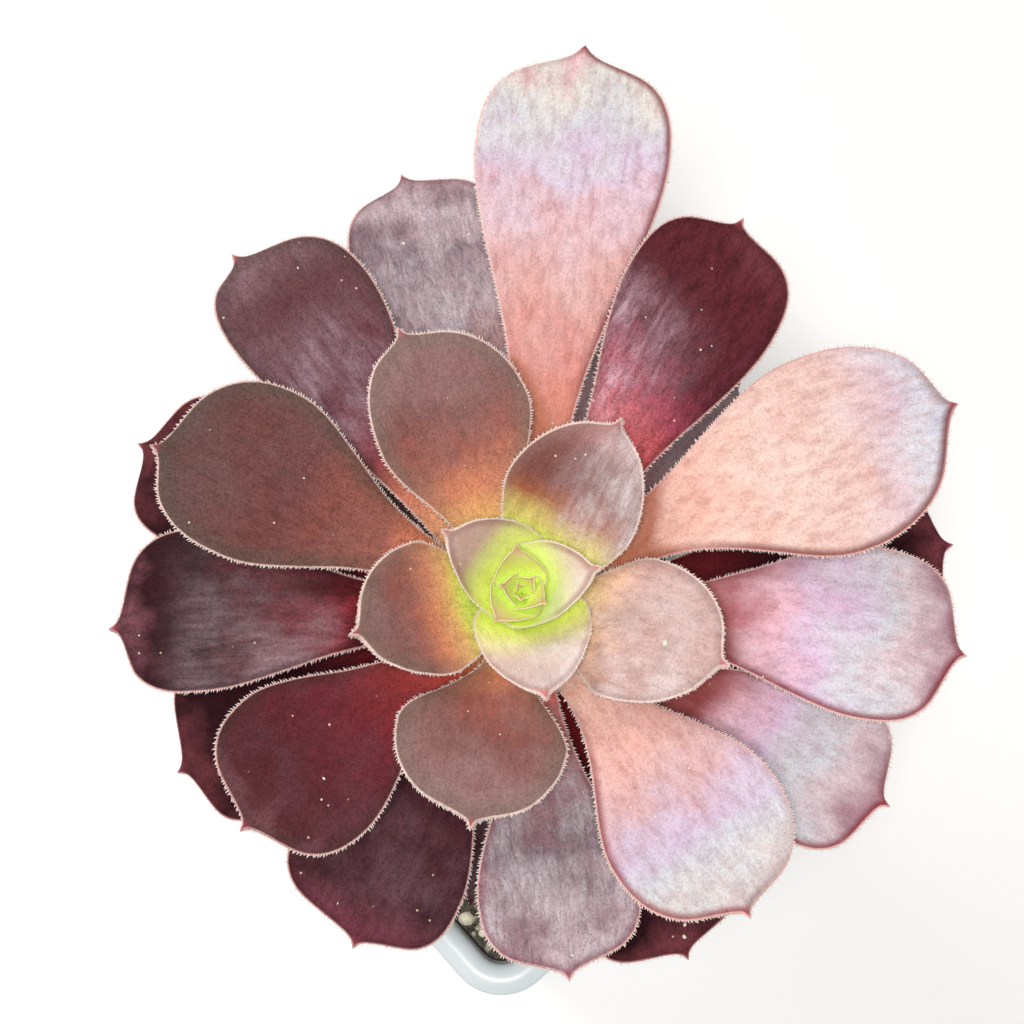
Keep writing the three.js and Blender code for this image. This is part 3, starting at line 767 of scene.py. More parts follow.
    RUSSET = LeafSkin(
        "leaf_skin_russet", "leaf_maroon",
        ((0.1, "ffd49c"), (0.22, "ff9870"), (0.36, "a86050"), (0.6, "743c3a"), (0.95, "64403e")),
        wander=0.05, bloom_sheen="a89498", bloom_sheen_share=0.14, margin_shade="5c5048", margin_shade_share=0.6, margin_shade_width=4.0,
        rim="eccac2", underside="70504c", wrinkle=0.2, gloss=0.25,
    )
    # From MAROON to WINE, the lighter last stop at the tip is painted sheen where the tip curves away.
    MAROON = LeafSkin(
        "leaf_skin_maroon", "leaf_maroon",
        ((0.08, "ffb070"), (0.2, "d4503c"), (0.34, "98302c"), (0.52, "70202c"), (0.74, "541820"),
         (0.86, "50181e"), (0.96, "8c5860")),
        wander=0.05, bloom_sheen="8c6474", margin_shade="3c2824", margin_shade_share=0.5, margin_shade_width=2.6, rim="e0b4b0",
        underside="5c383c", gloss=0.2, wrinkle=0.2,
    )
    CLARET = LeafSkin(
        "leaf_skin_claret", "leaf_maroon",
        ((0.14, "ffc890"), (0.3, "ffa080"), (0.42, "94404a"), (0.54, "641a2a"), (0.84, "6c464c"),
         (0.98, "8c6c74")),
        wander=0.05, bloom_sheen="d0b8c8", bloom_sheen_share=0.46, streak=0.7, bloom_sheen_span=(0.38, 0.84),
        sheen_side=0.7, margin_shade="4c3c38", margin_shade_share=0.5, margin_shade_width=2.6, shade="80303c",
        shade_share=0.1, rim="e4b8b2", underside="5c383c", gloss=0.2, wrinkle=0.5,
    )
    GARNET = LeafSkin(
        "leaf_skin_garnet", "leaf_maroon",
        ((0.25, "e47c60"), (0.4, "d8686a"), (0.52, "a84c60"), (0.62, "642834"), (0.86, "60222c"),
         (0.99, "743840")),
        wander=0.06, fleck="6c3848", fleck_share=0.5, bloom_sheen="f4ccdc", bloom_sheen_share=0.42,
        bloom_sheen_span=(0.28, 0.8), streak=0.75, slant=0.05, sheen_side=1.6, margin_shade="3c1018",
        margin_shade_share=0.4, margin_shade_width=2.2, shade="a43030", shade_share=0.3, rim="dcaca8",
        underside="4c2428", gloss=0.15, sheen=0.0, wrinkle=0.7,
    )
    OXBLOOD = LeafSkin(
        "leaf_skin_oxblood", "leaf_maroon",
        ((0.25, "b82c30"), (0.4, "983440"), (0.56, "682830"), (0.72, "34121a"), (0.88, "38141c"),
         (0.99, "885460")),
        wander=0.06, fleck="5c3c44", fleck_share=0.5, bloom_sheen="b8a0a8", bloom_sheen_share=0.45, streak=0.6,
        sheen_side=0.7, bloom_sheen_span=(0.32, 0.9), margin_shade="30141a", margin_shade_share=0.5, margin_shade_width=1.6,
        shade="34060e", shade_share=0.75, rim="dcaca8", underside="4c2428", gloss=0.15, sheen=0.0,
        wrinkle=0.4,
    )
    PORT = LeafSkin(
        "leaf_skin_port", "leaf_maroon",
        ((0.3, "581a22"), (0.55, "460c18"), (0.8, "3a0812"), (0.98, "7c4050")),
        wander=0.05, fleck="5c3c44", bloom_sheen="c89cac", bloom_sheen_share=0.22, bloom_sheen_span=(0.3, 0.95),
        margin_shade="30080e", margin_shade_share=0.4, margin_shade_width=1.6, shade="2c040a", shade_share=0.9, rim="dcaca8",
        underside="4c2428", gloss=0.15, sheen=0.0, wrinkle=0.5,
    )
    WINE = LeafSkin(
        "leaf_skin_wine", "leaf_wine",
        ((0.25, "70141a"), (0.5, "3c0610"), (0.86, "24040a"), (0.98, "783c44")),
        wander=0.05, fleck="683c44", bloom_sheen="7c4854", bloom_sheen_share=0.08, margin_shade="24060c", margin_shade_share=0.3,
        margin_shade_width=1.6, rim="cc9494", tip="7c3040", underside="3c1c20", gloss=0.1, sheen=0.0,
    )
    LEES = LeafSkin(
        "leaf_skin_lees", "leaf_wine",
        ((0.3, "4c0a12"), (0.9, "380810")),
        rim="5c2c30", tip="3c1018", underside="3c1c20", gloss=0.1, sheen=0.0,
    )
    SLATE = LeafSkin(
        "leaf_skin_slate", "leaf_mauve",
        ((0.3, "c0807c"), (0.6, "9c8084"), (0.9, "a48c90")),
        margin_shade="644c50", margin_shade_share=0.3, rim="dcb4ac", bloom_sheen="b4a4ac", bloom_sheen_share=0.3,
        underside="6c5450",
    )


class LeafHair:
    """Dry, clear hairs along the leaf margins: pinkish at the root and near white at the tip."""

    def material(self) -> bpy.types.Material:
        """Builds the material.

        Returns:
            The hairs' material.
        """
        material, add, shade = new_material("leaf_hair")
        along = add("Attribute", out="Fac", attribute_name=Kept.ALONG.value)
        colour = add("ValToRGB", {0: along}, stops=((0.0, "f0c4bc"), (0.5, "fcf0ea")))
        shade({
            "Base Color": colour,
            "Roughness": 0.4,
            "Subsurface Weight": 0.2,
            "Subsurface Scale": 0.4 * MM,
        })
        return material


class PotGlaze:
    """Fired glaze on stoneware: a smooth pale blue-white coat with a soft, clear highlight, and
    painted shade, a greyer blue, on the sides of the rolled rim."""

    RIPPLE = 2.6
    CLOUD = 16.0
    PINHOLE = 1.1
    PINHOLE_EDGE = 0.12
    PINHOLE_SHADE = 0.92

    def material(self) -> bpy.types.Material:
        """Builds the material.

        Returns:
            The pot's material.
        """
        material, add, shade = new_material("pot_glaze_pale_blue")
        place = add("TexCoord", out="Object")
        clouds = add("TexNoise", {"Vector": place, "Scale": 1 / (self.CLOUD * MM), "Detail": 3.0})
        colour = add("ValToRGB", {0: clouds}, stops=((0.35, "d8e5ea"), (0.65, "e6eff2")))
        # Painted shade: a greyer blue on the sides of the rolled rim.
        edge = add("Attribute", out="Fac", attribute_name=Kept.MARGIN.value)
        colour = add("Mix", {0: edge, 6: colour, 7: linear("b6c8cf")}, out=2, data_type="RGBA")
        pits = add("TexVoronoi", {"Vector": place, "Scale": 1 / (self.PINHOLE * MM)}, out="Distance")
        pits = add("MapRange", {0: pits, 1: 0.0, 2: self.PINHOLE_EDGE, 3: self.PINHOLE_SHADE})
        inputs = {0: 1.0, 6: colour, 7: pits}
        colour = add("Mix", inputs, out=2, data_type="RGBA", blend_type="MULTIPLY")
        ripple = add("TexNoise", {"Vector": place, "Scale": 1 / (self.RIPPLE * MM)})
        shade({
            "Base Color": colour,
            "Normal": add("Bump", {"Height": ripple, "Strength": 0.15, "Distance": 0.2 * MM}),
            "Roughness": 0.36,
            "IOR": 1.52,
            "Coat Weight": 0.2,
            "Coat Roughness": 0.3,
        })
        return material


@dataclass(frozen=True)
class Mineral:
    """Broken mineral grains: dull and rough, with darker pores and dusty faces."""

    name: str
    dark: str
    light: str
    pore: float = 0.5
    roughness: float = 0.9

    PATCH = 1.6
    LEVELS = (0.74, 1.26)

    def material(self) -> bpy.types.Material:
        """Builds the material.

        Returns:
            The grains' material.
        """
        material, add, shade = new_material(self.name)
        place = add("TexCoord", out="Object")
        patches = add("TexNoise", {"Vector": place, "Scale": 1 / (self.PATCH * MM), "Detail": 2.0})
        pores = add("TexNoise", {"Vector": place, "Scale": 1 / (self.pore * MM), "Detail": 4.0})
        level = add("Math", {0: patches, 1: pores}, operation="ADD")
        low, high = self.LEVELS
        level = add("MapRange", {0: level, 1: low, 2: high})
        shade({
            "Base Color": add("ValToRGB", {0: level}, stops=((0.0, self.dark), (1.0, self.light))),
            "Normal": add("Bump", {"Height": pores, "Strength": 0.8, "Distance": 0.3 * MM}),
            "Roughness": self.roughness,
        })
        return material


class StemBark:
    """Thin grey-brown bark: dull, finely cracked along the stem, paler on the old leaf scars."""

    CRACK_LENGTH = 3.0
    CRACK_WIDTH = 0.5

    def material(self) -> bpy.types.Material:
        """Builds the material.

        Returns:
            The stem's material.
        """
        material, add, shade = new_material("stem_bark")
        place = add("TexCoord", out="Object")
        finest = 1 / (self.CRACK_WIDTH * MM)
        scale = (finest, finest, 1 / (self.CRACK_LENGTH * MM))
        scaled = add("VectorMath", {0: place, 1: scale}, operation="MULTIPLY")
        cracks = add("TexNoise", {"Vector": scaled, "Scale": 1.0, "Detail": 5.0})
        stops = ((0.3, "4c3a2e"), (0.5, "86705a"), (0.72, "a8937a"))
        bark = add("ValToRGB", {0: cracks}, stops=stops)
        scar = add("Attribute", out="Fac", attribute_name=Kept.MARGIN.value)
        shade({
            "Base Color": add("Mix", {0: scar, 6: bark, 7: linear("b8a68c")}, out=2, data_type="RGBA"),
            "Normal": add("Bump", {"Height": cracks, "Strength": 0.7, "Distance": 0.3 * MM}),
            "Roughness": 0.85,
        })
        return material


class FloorPaint:
    """Matt white studio floor: flat, clean and very slightly mottled."""

    def material(self) -> bpy.types.Material:
        """Builds the material.

        Returns:
            The floor's material.
        """
        material, add, shade = new_material("studio_floor_white")
        noise = add("TexNoise", {"Scale": 6.0})
        shade({
            "Base Color": add("ValToRGB", {0: noise}, stops=((0.3, "fafafa"), (0.7, "fdfdfd"))),
            "Roughness": 0.9,
        })
        return material


# ---- Stem -----------------------------------------------------------------------------------


@dataclass(frozen=True)
class Stem:
    """The woody stem, from its buried end to the flat top that carries the bud."""

    outline: tuple[tuple[float, float], ...] = (
        (28, 1.6), (33, 3.6), (45, 5.4), (60, 6.6), (66, 6.4), (97, 6.2), (104, 6.0),
        (111, 5.2), (117, 4.0), (121, 2.9), (124.6, 1.9),
    )
    offset: float = 1.2
    turn: float = -42.0
    scarred_from: float = 67.0
    scarred_to: float = 96.0
    scar_spacing: float = 1.6
    scar_width: float = 2.1
    scar_height: float = 0.9
    scar_relief: float = 0.35
    ring_spacing: float = 0.4
    sides: int = 96

    SCAR_EDGE = 0.6
    SCAR_PALENESS = 0.7
    LIP_PLACE = 1.15
    LIP_WIDTH = 0.2
    LIP_HEIGHT = 0.12
    RIDGES = 9
    RIDGE_TWIST = 0.4
    RIDGE_HEIGHT = 0.08
    RIDGES_START = (62, 68)
    BARK_DEPTH = 0.1

    @property
    def top(self) -> float:
        """Height of the flat top."""
        return self.outline[-1][0]

    def radius(self, height: Array) -> Array:
        """Radius at a height, without scars."""
        heights, radii = zip(*self.outline)
        return np.interp(height, heights, radii)

    def placed(self, points: Array) -> Array:
        """Turns and moves points from the plant's own frame to the part's.

        Args:
            points: the points.

        Returns:
            The moved points.
        """
        angle = math.radians(self.turn)
        x, y, z = points.T
        return np.column_stack([
            x * math.cos(angle) - y * math.sin(angle) + self.offset,
            x * math.sin(angle) + y * math.cos(angle),
            z,
        ])

    def build(self) -> None:
        """Builds the stem with its crescent leaf scars and shallow bark ridges."""
        low = self.outline[0][0]
        heights = np.linspace(low, self.top, int((self.top - low) / self.ring_spacing))
        angles = np.linspace(0, 2 * np.pi, self.sides, endpoint=False)
        height, angle = np.meshgrid(heights, angles, indexing="ij")
        radius = self.radius(height)
        scar = np.zeros_like(radius)
        lip = np.zeros_like(radius)
        for index, level in enumerate(np.arange(self.scarred_from, self.scarred_to, self.scar_spacing)):
            middle = math.radians(LeafRule.GOLDEN_ANGLE * index)
            turned = np.abs((angle - middle + np.pi) % (2 * np.pi) - np.pi)
            away = turned * radius / self.scar_width
            apart = np.hypot(away, (height - level) / self.scar_height)
            scar = np.maximum(scar, 1 - ease(apart, self.SCAR_EDGE, 1.0))
            lip = np.maximum(lip, np.exp(-(((apart - self.LIP_PLACE) / self.LIP_WIDTH) ** 2)))
        ridges = np.sin(self.RIDGES * angle + self.RIDGE_TWIST * height)
        bark = self.RIDGE_HEIGHT * ridges * ease(height, *self.RIDGES_START)
        lips = self.LIP_HEIGHT * lip * (1 - scar)
        radius = radius - self.scar_relief * scar + lips + bark - self.BARK_DEPTH
        points = np.stack([radius * np.cos(angle), radius * np.sin(angle), height], axis=-1)
        shape = (self.placed(points.reshape(-1, 3)), ring_faces(len(heights), self.sides))
        piece = mesh_piece("stem_bark", shape, StemBark().material(), {
            Kept.MARGIN.value: self.SCAR_PALENESS * scar.ravel(),
        })
        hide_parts("stem")


# ---- Leaves ---------------------------------------------------------------------------------


@dataclass(frozen=True)
class LeafForm:
    """Sizes of one open leaf: drift off the spiral, reach from the stem's axis to the tip seen
    from above, full width, where it is widest, sideways bow, lopsidedness and lift. Then how
    widely the point draws in the round end, as a share of the width, and how much younger than
    its tone the leaf looks, as a share of its length."""

    drift: float
    reach: float
    width: float
    belly: float
    sweep: float = 0.0
    skew: float = 0.0
    lift: float = 0.0
    flare: float = 0.16
    youth: float = 0.0
    tone: Tone = Tone.WINE


OPEN_LEAVES = (
    LeafForm(2, 11.6, 12.2, 0.22, skew=0.2, flare=0.22, tone=Tone.HEART_LIT),
    LeafForm(-1, 13.8, 13.8, 0.26, skew=-0.26, lift=4, flare=0.2, tone=Tone.HEART_SHADED),
    LeafForm(-3, 17.0, 16.8, 0.24, skew=0.08, flare=0.22, tone=Tone.HEART_OUTER),
    LeafForm(-3, 28.0, 20.4, 0.50, skew=0.04, lift=-4, tone=Tone.BRONZE_LIT),
    LeafForm(-3, 25.5, 20.0, 0.48, skew=-0.14, youth=0.08, tone=Tone.BRONZE),
    LeafForm(1, 31.5, 21.8, 0.50, sweep=-12, skew=0.02, tone=Tone.SAND),
    LeafForm(1, 42.0, 23.2, 0.61, skew=-0.15, tone=Tone.BRONZE),
    LeafForm(6, 35.0, 24.6, 0.58, skew=-0.1, youth=-0.1, tone=Tone.BRONZE),
    LeafForm(-7.5, 66.5, 29.6, 0.71, sweep=-24, skew=-0.15, flare=0.2, tone=Tone.PEACH),
    LeafForm(-8, 57.0, 26.4, 0.72, skew=-0.16, tone=Tone.RUSSET),
    LeafForm(-0.5, 56.0, 26.2, 0.72, sweep=-12, tone=Tone.ROSE),
    LeafForm(1.5, 85.0, 29.2, 0.79, lift=-5, flare=0.24, tone=Tone.BLUSH),
    LeafForm(1, 52.0, 25.7, 0.74, sweep=10, skew=-0.04, tone=Tone.MAROON),
    LeafForm(-5, 64.0, 25.4, 0.78, sweep=-12, skew=0.02, flare=0.2, tone=Tone.LILAC),
    LeafForm(-5, 68.0, 23.2, 0.78, sweep=-4, skew=-0.24, tone=Tone.CLARET),
    LeafForm(5, 54.5, 23.0, 0.76, flare=0.2, tone=Tone.MAUVE),
    LeafForm(10, 64.0, 24.0, 0.78, skew=-0.07, lift=12, tone=Tone.GARNET),
    LeafForm(-4, 60.5, 24.6, 0.76, skew=-0.16, tone=Tone.OXBLOOD),
    LeafForm(7, 60.5, 23.6, 0.78, tone=Tone.LILAC),
    LeafForm(3, 72.0, 25.0, 0.76, skew=-0.1, tone=Tone.ASH),
    LeafForm(4, 54.5, 26.4, 0.76, skew=-0.14, tone=Tone.PORT),
    LeafForm(-7, 66.0, 24.0, 0.75),
    LeafForm(0, 65.0, 25.0, 0.75),
    LeafForm(4, 55.5, 25.0, 0.74),
    LeafForm(5, 53.0, 20.0, 0.74, tone=Tone.SLATE),
    LeafForm(-4, 56.0, 26.2, 0.74, skew=-0.1),
    LeafForm(0, 50.0, 20.0, 0.74, tone=Tone.LEES),
    LeafForm(0, 50.0, 20.0, 0.74, tone=Tone.LEES),
    LeafForm(0, 42.0, 19.0, 0.74, tone=Tone.LEES),
    LeafForm(13, 54.5, 18.0, 0.74, tone=Tone.SLATE),
    LeafForm(0, 46.0, 18.0, 0.74, tone=Tone.LEES),
)


@dataclass(frozen=True)
class LeafRule:
    """What a leaf's place in the spiral gives it. Pairs are a mature leaf's value, then the
    youngest open leaf's."""

    stem: Stem
    first_turn: float = 9.5
    first_seat: float = 122.0
    seat_spacing: float = 1.0
    seat_crowding: float = 0.9
    young_leaves: int = 7
    flat_rise: float = 20.0
    young_rise: float = 2.4
    young_rise_power: float = 1.3
    droop: float = 1.3
    bend: tuple[float, float] = (26.0, 13.75)
    spoon: tuple[float, float] = (1.6, 0.6)
    thickness: tuple[float, float] = (2.2, 1.6)
    cup: tuple[float, float] = (0.16, 0.37)
    point: tuple[float, float] = (1.0, 0.74)
    hair: tuple[float, float] = (0.6, 0.38)
    ripple: tuple[float, float] = (0.46, 0.1)
    waist: tuple[float, float] = (7.4, 13.0)
    waist_on_stem: tuple[float, float] = (1.35, 4.6)
    widest_waist: float = 0.72
    clasp: float = 4.5
    leaf_gap: float = 0.35

    GOLDEN_ANGLE = 137.5
    FIRST_ROUNDNESS = 1.5
    GROWN_ROUNDNESS = 0.9
    LATE_ROUNDNESS = 0.035
    FILLING_LEAVES = 10
    FILLING_POWER = 0.8

    def roundness(self, order: int) -> float:
        """How square the blade's round end is: it fills out over the first leaves.

        Args:
            order: the leaf's place in the spiral, counted from the heart.

        Returns:
            The power of the round end's outline, 2 for an ellipse and more for a squarer end.
        """
        filled = min(1.0, order / self.FILLING_LEAVES) ** self.FILLING_POWER
        later = max(0, order - self.FILLING_LEAVES)
        return self.FIRST_ROUNDNESS + self.GROWN_ROUNDNESS * filled + self.LATE_ROUNDNESS * later

    def blade(self, form: LeafForm, order: int) -> "Blade":
        """Works out one open leaf.

        Args:
            form: the leaf's own sizes.
            order: its place in the spiral, counted from the heart.

        Returns:
            The blade.
        """
        young = max(0, self.young_leaves - order)
        old = max(0, order - self.young_leaves)
        age = young / self.young_leaves
        risen = self.young_rise * young**self.young_rise_power
        rise = self.flat_rise + risen - self.droop * old + form.lift
        bend = lerp(*self.bend, age)
        seat = self.first_seat - self.seat_spacing * order**self.seat_crowding
        stem_radius = float(self.stem.radius(seat))
        round_stem = lerp(*self.waist_on_stem, age) * stem_radius
        return Blade(
            seed=order,
            turn=self.first_turn + self.GOLDEN_ANGLE * order + form.drift,
            seat=seat,
            start=stem_radius + self.leaf_gap,
            reach=form.reach,
            width=form.width,
            belly=form.belly,
            sweep=form.sweep,
            skew=form.skew,
            flare=form.flare,
            base_rise=rise + bend / 2,
            tip_rise=rise - bend / 2,
            waist=min(lerp(*self.waist, age), round_stem, self.widest_waist * form.width),
            roundness=self.roundness(order),
            spoon=lerp(*self.spoon, age),
            thickness=lerp(*self.thickness, age),
            cup=lerp(*self.cup, age),
            point=lerp(*self.point, age),
            hair=lerp(*self.hair, age),
            ripple=lerp(*self.ripple, age),
            clasp=self.clasp * age,
            youth=form.youth,
            stem=self.stem,
            stem_gap=self.leaf_gap,
        )


@dataclass(frozen=True)
class Blade:
    """One leaf blade in its own frame, where the tip lies over +x and the stem's axis is z."""

    seed: int
    turn: float
    seat: float
    start: float
    reach: float
    width: float
    belly: float
    base_rise: float
    tip_rise: float
    waist: float
    roundness: float
    spoon: float
    thickness: float
    cup: float
    point: float
    hair: float
    ripple: float
    sweep: float = 0.0
    skew: float = 0.0
    stem: Stem | None = None
    stem_gap: float = 0.0
    flare: float = 0.17
    clasp: float = 0.0
    youth: float = 0.0
    edge_thickness: float = 0.8
    rows: int = 116
    columns: int = 29

    # Form of the blade and its skin, in millimetres and shares.
    TIP_THINNING = 0.55
    CUP_FLATTENING = 0.6
    POINT_LENGTH = 2.6
    POINT_IN_BLADE = 0.8
    POINT_SLOPE = 0.7
    EDGE_SHARPNESS = 10
    DEEPEST_EDGE = 0.7
    KEEL_HEIGHT = 0.35
    KEEL_WIDTH = 0.16
    KEEL_FADE = (0.5, 0.95)
    FOLD = 0.022
    FOLD_RIDGE = 1.2
    FOLD_SHOULDERS = 1.3
    CLASP_END = 0.4
    WRAP_LIMIT = 1.4

    # Waves of a grown leaf: how many run along it, how they turn across it, and their height.
    EDGE_WAVES = (1.6, 1.4, 1.0)
    HOLLOWS = (0.9, 2.6, 0.5)
    FINE_WAVES = (3.3, 4.2, 0.22)
    FRILL = (6.1, 1.0, 0.3)
    WAVES_START = (0.05, 0.35)
    WAVE_SEED = 100

    # How finely the midrib, the round end and the rows of points are traced.
    MIDRIB_STEPS = 400
    END_STEPS = 2001
    ROW_STEPS = 4000
    ROW_CROWDING = 2.5
    CROWDED_LENGTH = 4.5
    SCATTER_START = 0.1
    SCATTER_ROWS = 44
    SCATTER_COLUMNS = 11
    PATTERN_SHIFT = 37.0

    # The hairs: their section, where they stand and how they lean, in degrees, and vary.
    HAIR_WIDTH = 0.15
    HAIR_HEIGHT = 0.1
    HAIR_SPAN = (0.03, 0.99)
    HAIR_STEPS = 3000
    HAIR_JITTER = 0.3
    HAIR_LEAN = (24, 13)
    HAIR_TILT = (0.15, 0.14)
    HAIR_SIZES = (0.6, 1.15)
    HAIR_DEPTH = 0.14
    HAIR_SEAT = 0.06
    HAIR_NECK = 0.55
    HAIR_NECK_SIZE = 0.62
    HAIR_BOW = 0.12
    HAIR_SEED = 500

    @cached_property
    def trace(self) -> Array:
        """Traces the midrib for a length of 1, before its chord is turned over +x.

        Returns:
            Its places at even shares of the length, one row each.
        """
        share = (np.arange(self.MIDRIB_STEPS) + 0.5) / self.MIDRIB_STEPS
        rise = np.radians(lerp(self.base_rise, self.tip_rise, share))
        heading = np.radians(self.sweep * (share - 0.5))
        level = np.cos(rise)
        steps = np.column_stack([level * np.cos(heading), level * np.sin(heading), np.sin(rise)])
        return np.vstack([np.zeros(3), np.cumsum(steps, axis=0)]) / self.MIDRIB_STEPS

    @cached_property
    def chord(self) -> float:
        """Direction from base to tip of the traced midrib, seen from above."""
        return math.atan2(self.trace[-1, 1], self.trace[-1, 0])

    @cached_property
    def length(self) -> float:
        """Real length of the midrib, so that the tip reaches as far as it should."""
        return (self.reach - self.start) / math.hypot(self.trace[-1, 0], self.trace[-1, 1])

    @cached_property
    def round_end(self) -> Array:
        """Works out the round end, softened where it meets the belly and the point.

        Returns:
            Half the width at even steps from the base to the tip.
        """
        share = np.linspace(0, 1, self.END_STEPS)
        end = 1 - self.POINT_IN_BLADE * self.POINT_LENGTH * self.point / self.length
        along = np.clip((share - self.belly) / (end - self.belly), 0, 1)
        half = self.width / 2 * (1 - along**self.roundness) ** (1 / self.roundness)
        reach = int(self.flare * self.width / self.length * self.END_STEPS / 2)
        window = np.hanning(2 * reach + 3)
        padded = np.pad(half, reach + 1, mode="edge")
        return np.convolve(padded, window / window.sum(), mode="valid")

    def frame_at(self, share: Array) -> tuple[Array, Array, Array]:
        """The midrib's place and directions.

        Args:
            share: shares of the length.

        Returns:
            Places, sideways directions and upward directions, one row each.
        """
        knots = np.linspace(0, 1, self.MIDRIB_STEPS + 1)
        x, y, z = (np.interp(share, knots, self.trace[:, axis]) for axis in range(3))
        rise = np.radians(lerp(self.base_rise, self.tip_rise, share))
        heading = np.radians(self.sweep * (share - 0.5)) - self.chord
        cos, sin = math.cos(self.chord), math.sin(self.chord)
        centre = np.stack([
            self.start + self.length * (x * cos + y * sin),
            self.length * (y * cos - x * sin),
            self.length * z,
        ], axis=-1)
        side = np.stack([-np.sin(heading), np.cos(heading), np.zeros_like(heading)], axis=-1)
        up = np.stack([
            -np.sin(rise) * np.cos(heading), -np.sin(rise) * np.sin(heading), np.cos(rise),
        ], axis=-1)
        return centre, side, up

    def half_width(self, share: Array) -> Array:
        """Half the blade's width: a waist, a spoon-like belly, and a round end that draws in
        with hollow flanks to a short point.

        Args:
            share: shares of the length.

        Returns:
            Half widths, in millimetres.
        """
        grown = np.sin((np.pi / 2) * np.minimum(share / self.belly, 1) ** self.spoon) ** 2
        spread = lerp(self.waist / 2, self.width / 2, grown)
        from_tip = (1 - share) * self.length
        needle = self.POINT_SLOPE * from_tip * np.exp(-from_tip / self.POINT_LENGTH)
        rounded = np.interp(share, np.linspace(0, 1, len(self.round_end)), self.round_end)
        return np.where(share <= self.belly, spread, np.hypot(rounded, needle))

    def row_shares(self) -> Array:
        """Spreads the rows of points, closer together near the point.

        Returns:
            The rows' shares of the length.
        """
        fine = np.linspace(0, 1, self.ROW_STEPS)
        step = np.hypot(np.diff(fine) * self.length, np.diff(self.half_width(fine)))
        near = np.exp(-(1 - fine[1:]) * self.length / self.CROWDED_LENGTH)
        walked = np.concatenate([[0], np.cumsum(step * (1 + self.ROW_CROWDING * near))])
        return np.interp(np.linspace(0, walked[-1], self.rows + 1)[:-1], walked, fine)

    def surface(self, share: Array, across: Array, face: Array) -> Array:
        """Places on the blade's skin.

        Args:
            share: shares of the length.
            across: from -1 on the right margin to 1 on the left one.
            face: 1 on the upper face and -1 on the lower.

        Returns:
            Places in the blade's own frame.
        """
        centre, side, up = self.frame_at(share)
        half = self.half_width(share)
        thickness = self.thickness * lerp(1, self.TIP_THINNING, share)
        depth = lerp(self.edge_thickness, thickness, 1 - across**2) / 2
        depth = np.minimum(depth, self.DEEPEST_EDGE * half)
        depth = depth * np.sqrt(np.clip(1 - np.abs(across) ** self.EDGE_SHARPNESS, 0, 1))
        keel = self.KEEL_HEIGHT * np.exp(-((across / self.KEEL_WIDTH) ** 2))
        keel = np.where(face < 0, keel * (1 - ease(share, *self.KEEL_FADE)), 0.0)
        cup = self.cup * (1 - self.CUP_FLATTENING * share) * half * across**2
        height = cup + self.waves(share, across) + self.fold(share, across) + face * (depth + keel)
        back = self.clasp * across**2 * (1 - ease(share, 0.0, self.CLASP_END))
        centre = centre - np.stack([back, 0 * back, 0 * back], axis=-1)
        return centre + side * (half * (across + self.skew))[..., None] + up * height[..., None]

    def fold(self, share: Array, across: Array) -> Array:
        """Height of the fold at the tip: a ridge in the middle and shoulders that turn down.

        Args:
            share: shares of the length.
            across: from -1 on the right margin to 1 on the left one.

        Returns:
            Heights, in millimetres.
        """
        from_tip = (1 - share) * self.length / (self.flare * self.width)
        near = np.exp(-(from_tip**2))
        ridge = np.exp(-((self.half_width(share) * across / self.FOLD_RIDGE) ** 2))
        return self.FOLD * self.width * near * (ridge - self.FOLD_SHOULDERS * across**2)

    def waves(self, share: Array, across: Array) -> Array:
        """Gentle unevenness of a grown leaf, none at its base.

        Args:
            share: shares of the length.
            across: from -1 on the right margin to 1 on the left one.

        Returns:
            Heights, in millimetres.
        """
        random = np.random.default_rng(self.WAVE_SEED + self.seed)
        phase = random.uniform(0, 2 * np.pi, 6)
        count, turn, height = self.EDGE_WAVES
        edge = np.sin(2 * np.pi * count * share + phase[0] + turn * across)
        edge = height * edge * across**2
        count, turn, height = self.HOLLOWS
        hollow = np.sin(2 * np.pi * count * share + phase[1])
        hollow = height * hollow * np.cos(turn * across + phase[2])
        count, turn, height = self.FINE_WAVES
        fine = np.sin(2 * np.pi * count * share + phase[3])
        fine = height * fine * np.sin(turn * across + phase[1])
        count, turn, height = self.FRILL
        frill = np.sin(2 * np.pi * count * share + phase[4] + turn * across)
        frill = height * frill * np.abs(across) ** 5
        return self.ripple * (edge + hollow + fine + frill) * ease(share, *self.WAVES_START)

    def placed(self, points: Array) -> Array:
        """Turns points about the stem and lifts them to the leaf's seat, in the part's frame.

        Args:
            points: places in the blade's own frame.

        Returns:
            The moved points.
        """
        angle = math.radians(self.turn)
        cos, sin = math.cos(angle), math.sin(angle)
        x, y, z = points.T
        turned = np.column_stack([x * cos - y * sin, x * sin + y * cos, z + self.seat])
        return self.stem.placed(turned) if self.stem else turned

    def skin(self) -> tuple[Shape, dict[str, Array]]:
        """Builds the blade's closed surface.

        Returns:
            Its shape, and what the points keep for the material.
        """
        shares = self.row_shares()
        across_upper = np.sin(np.pi / 2 * np.linspace(-1, 1, self.columns))
        across_ring = np.concatenate([across_upper, across_upper[-2:0:-1]])
        face_ring = np.concatenate([np.ones(self.columns), -np.ones(self.columns - 2)])
        share, across = np.meshgrid(shares, across_ring, indexing="ij")
        points = self.surface(share, across, np.broadcast_to(face_ring, share.shape))
        if self.stem and not self.clasp:
            self.wrap_base(points[0])
        tip, _, _ = self.frame_at(np.array([1.0]))
        count = len(across_ring)
        rows = len(shares)
        faces = ring_faces(rows, count, closed_end=False)
        last = (rows - 1) * count
        faces += [(last + side, last + (side + 1) % count, rows * count) for side in range(count)]

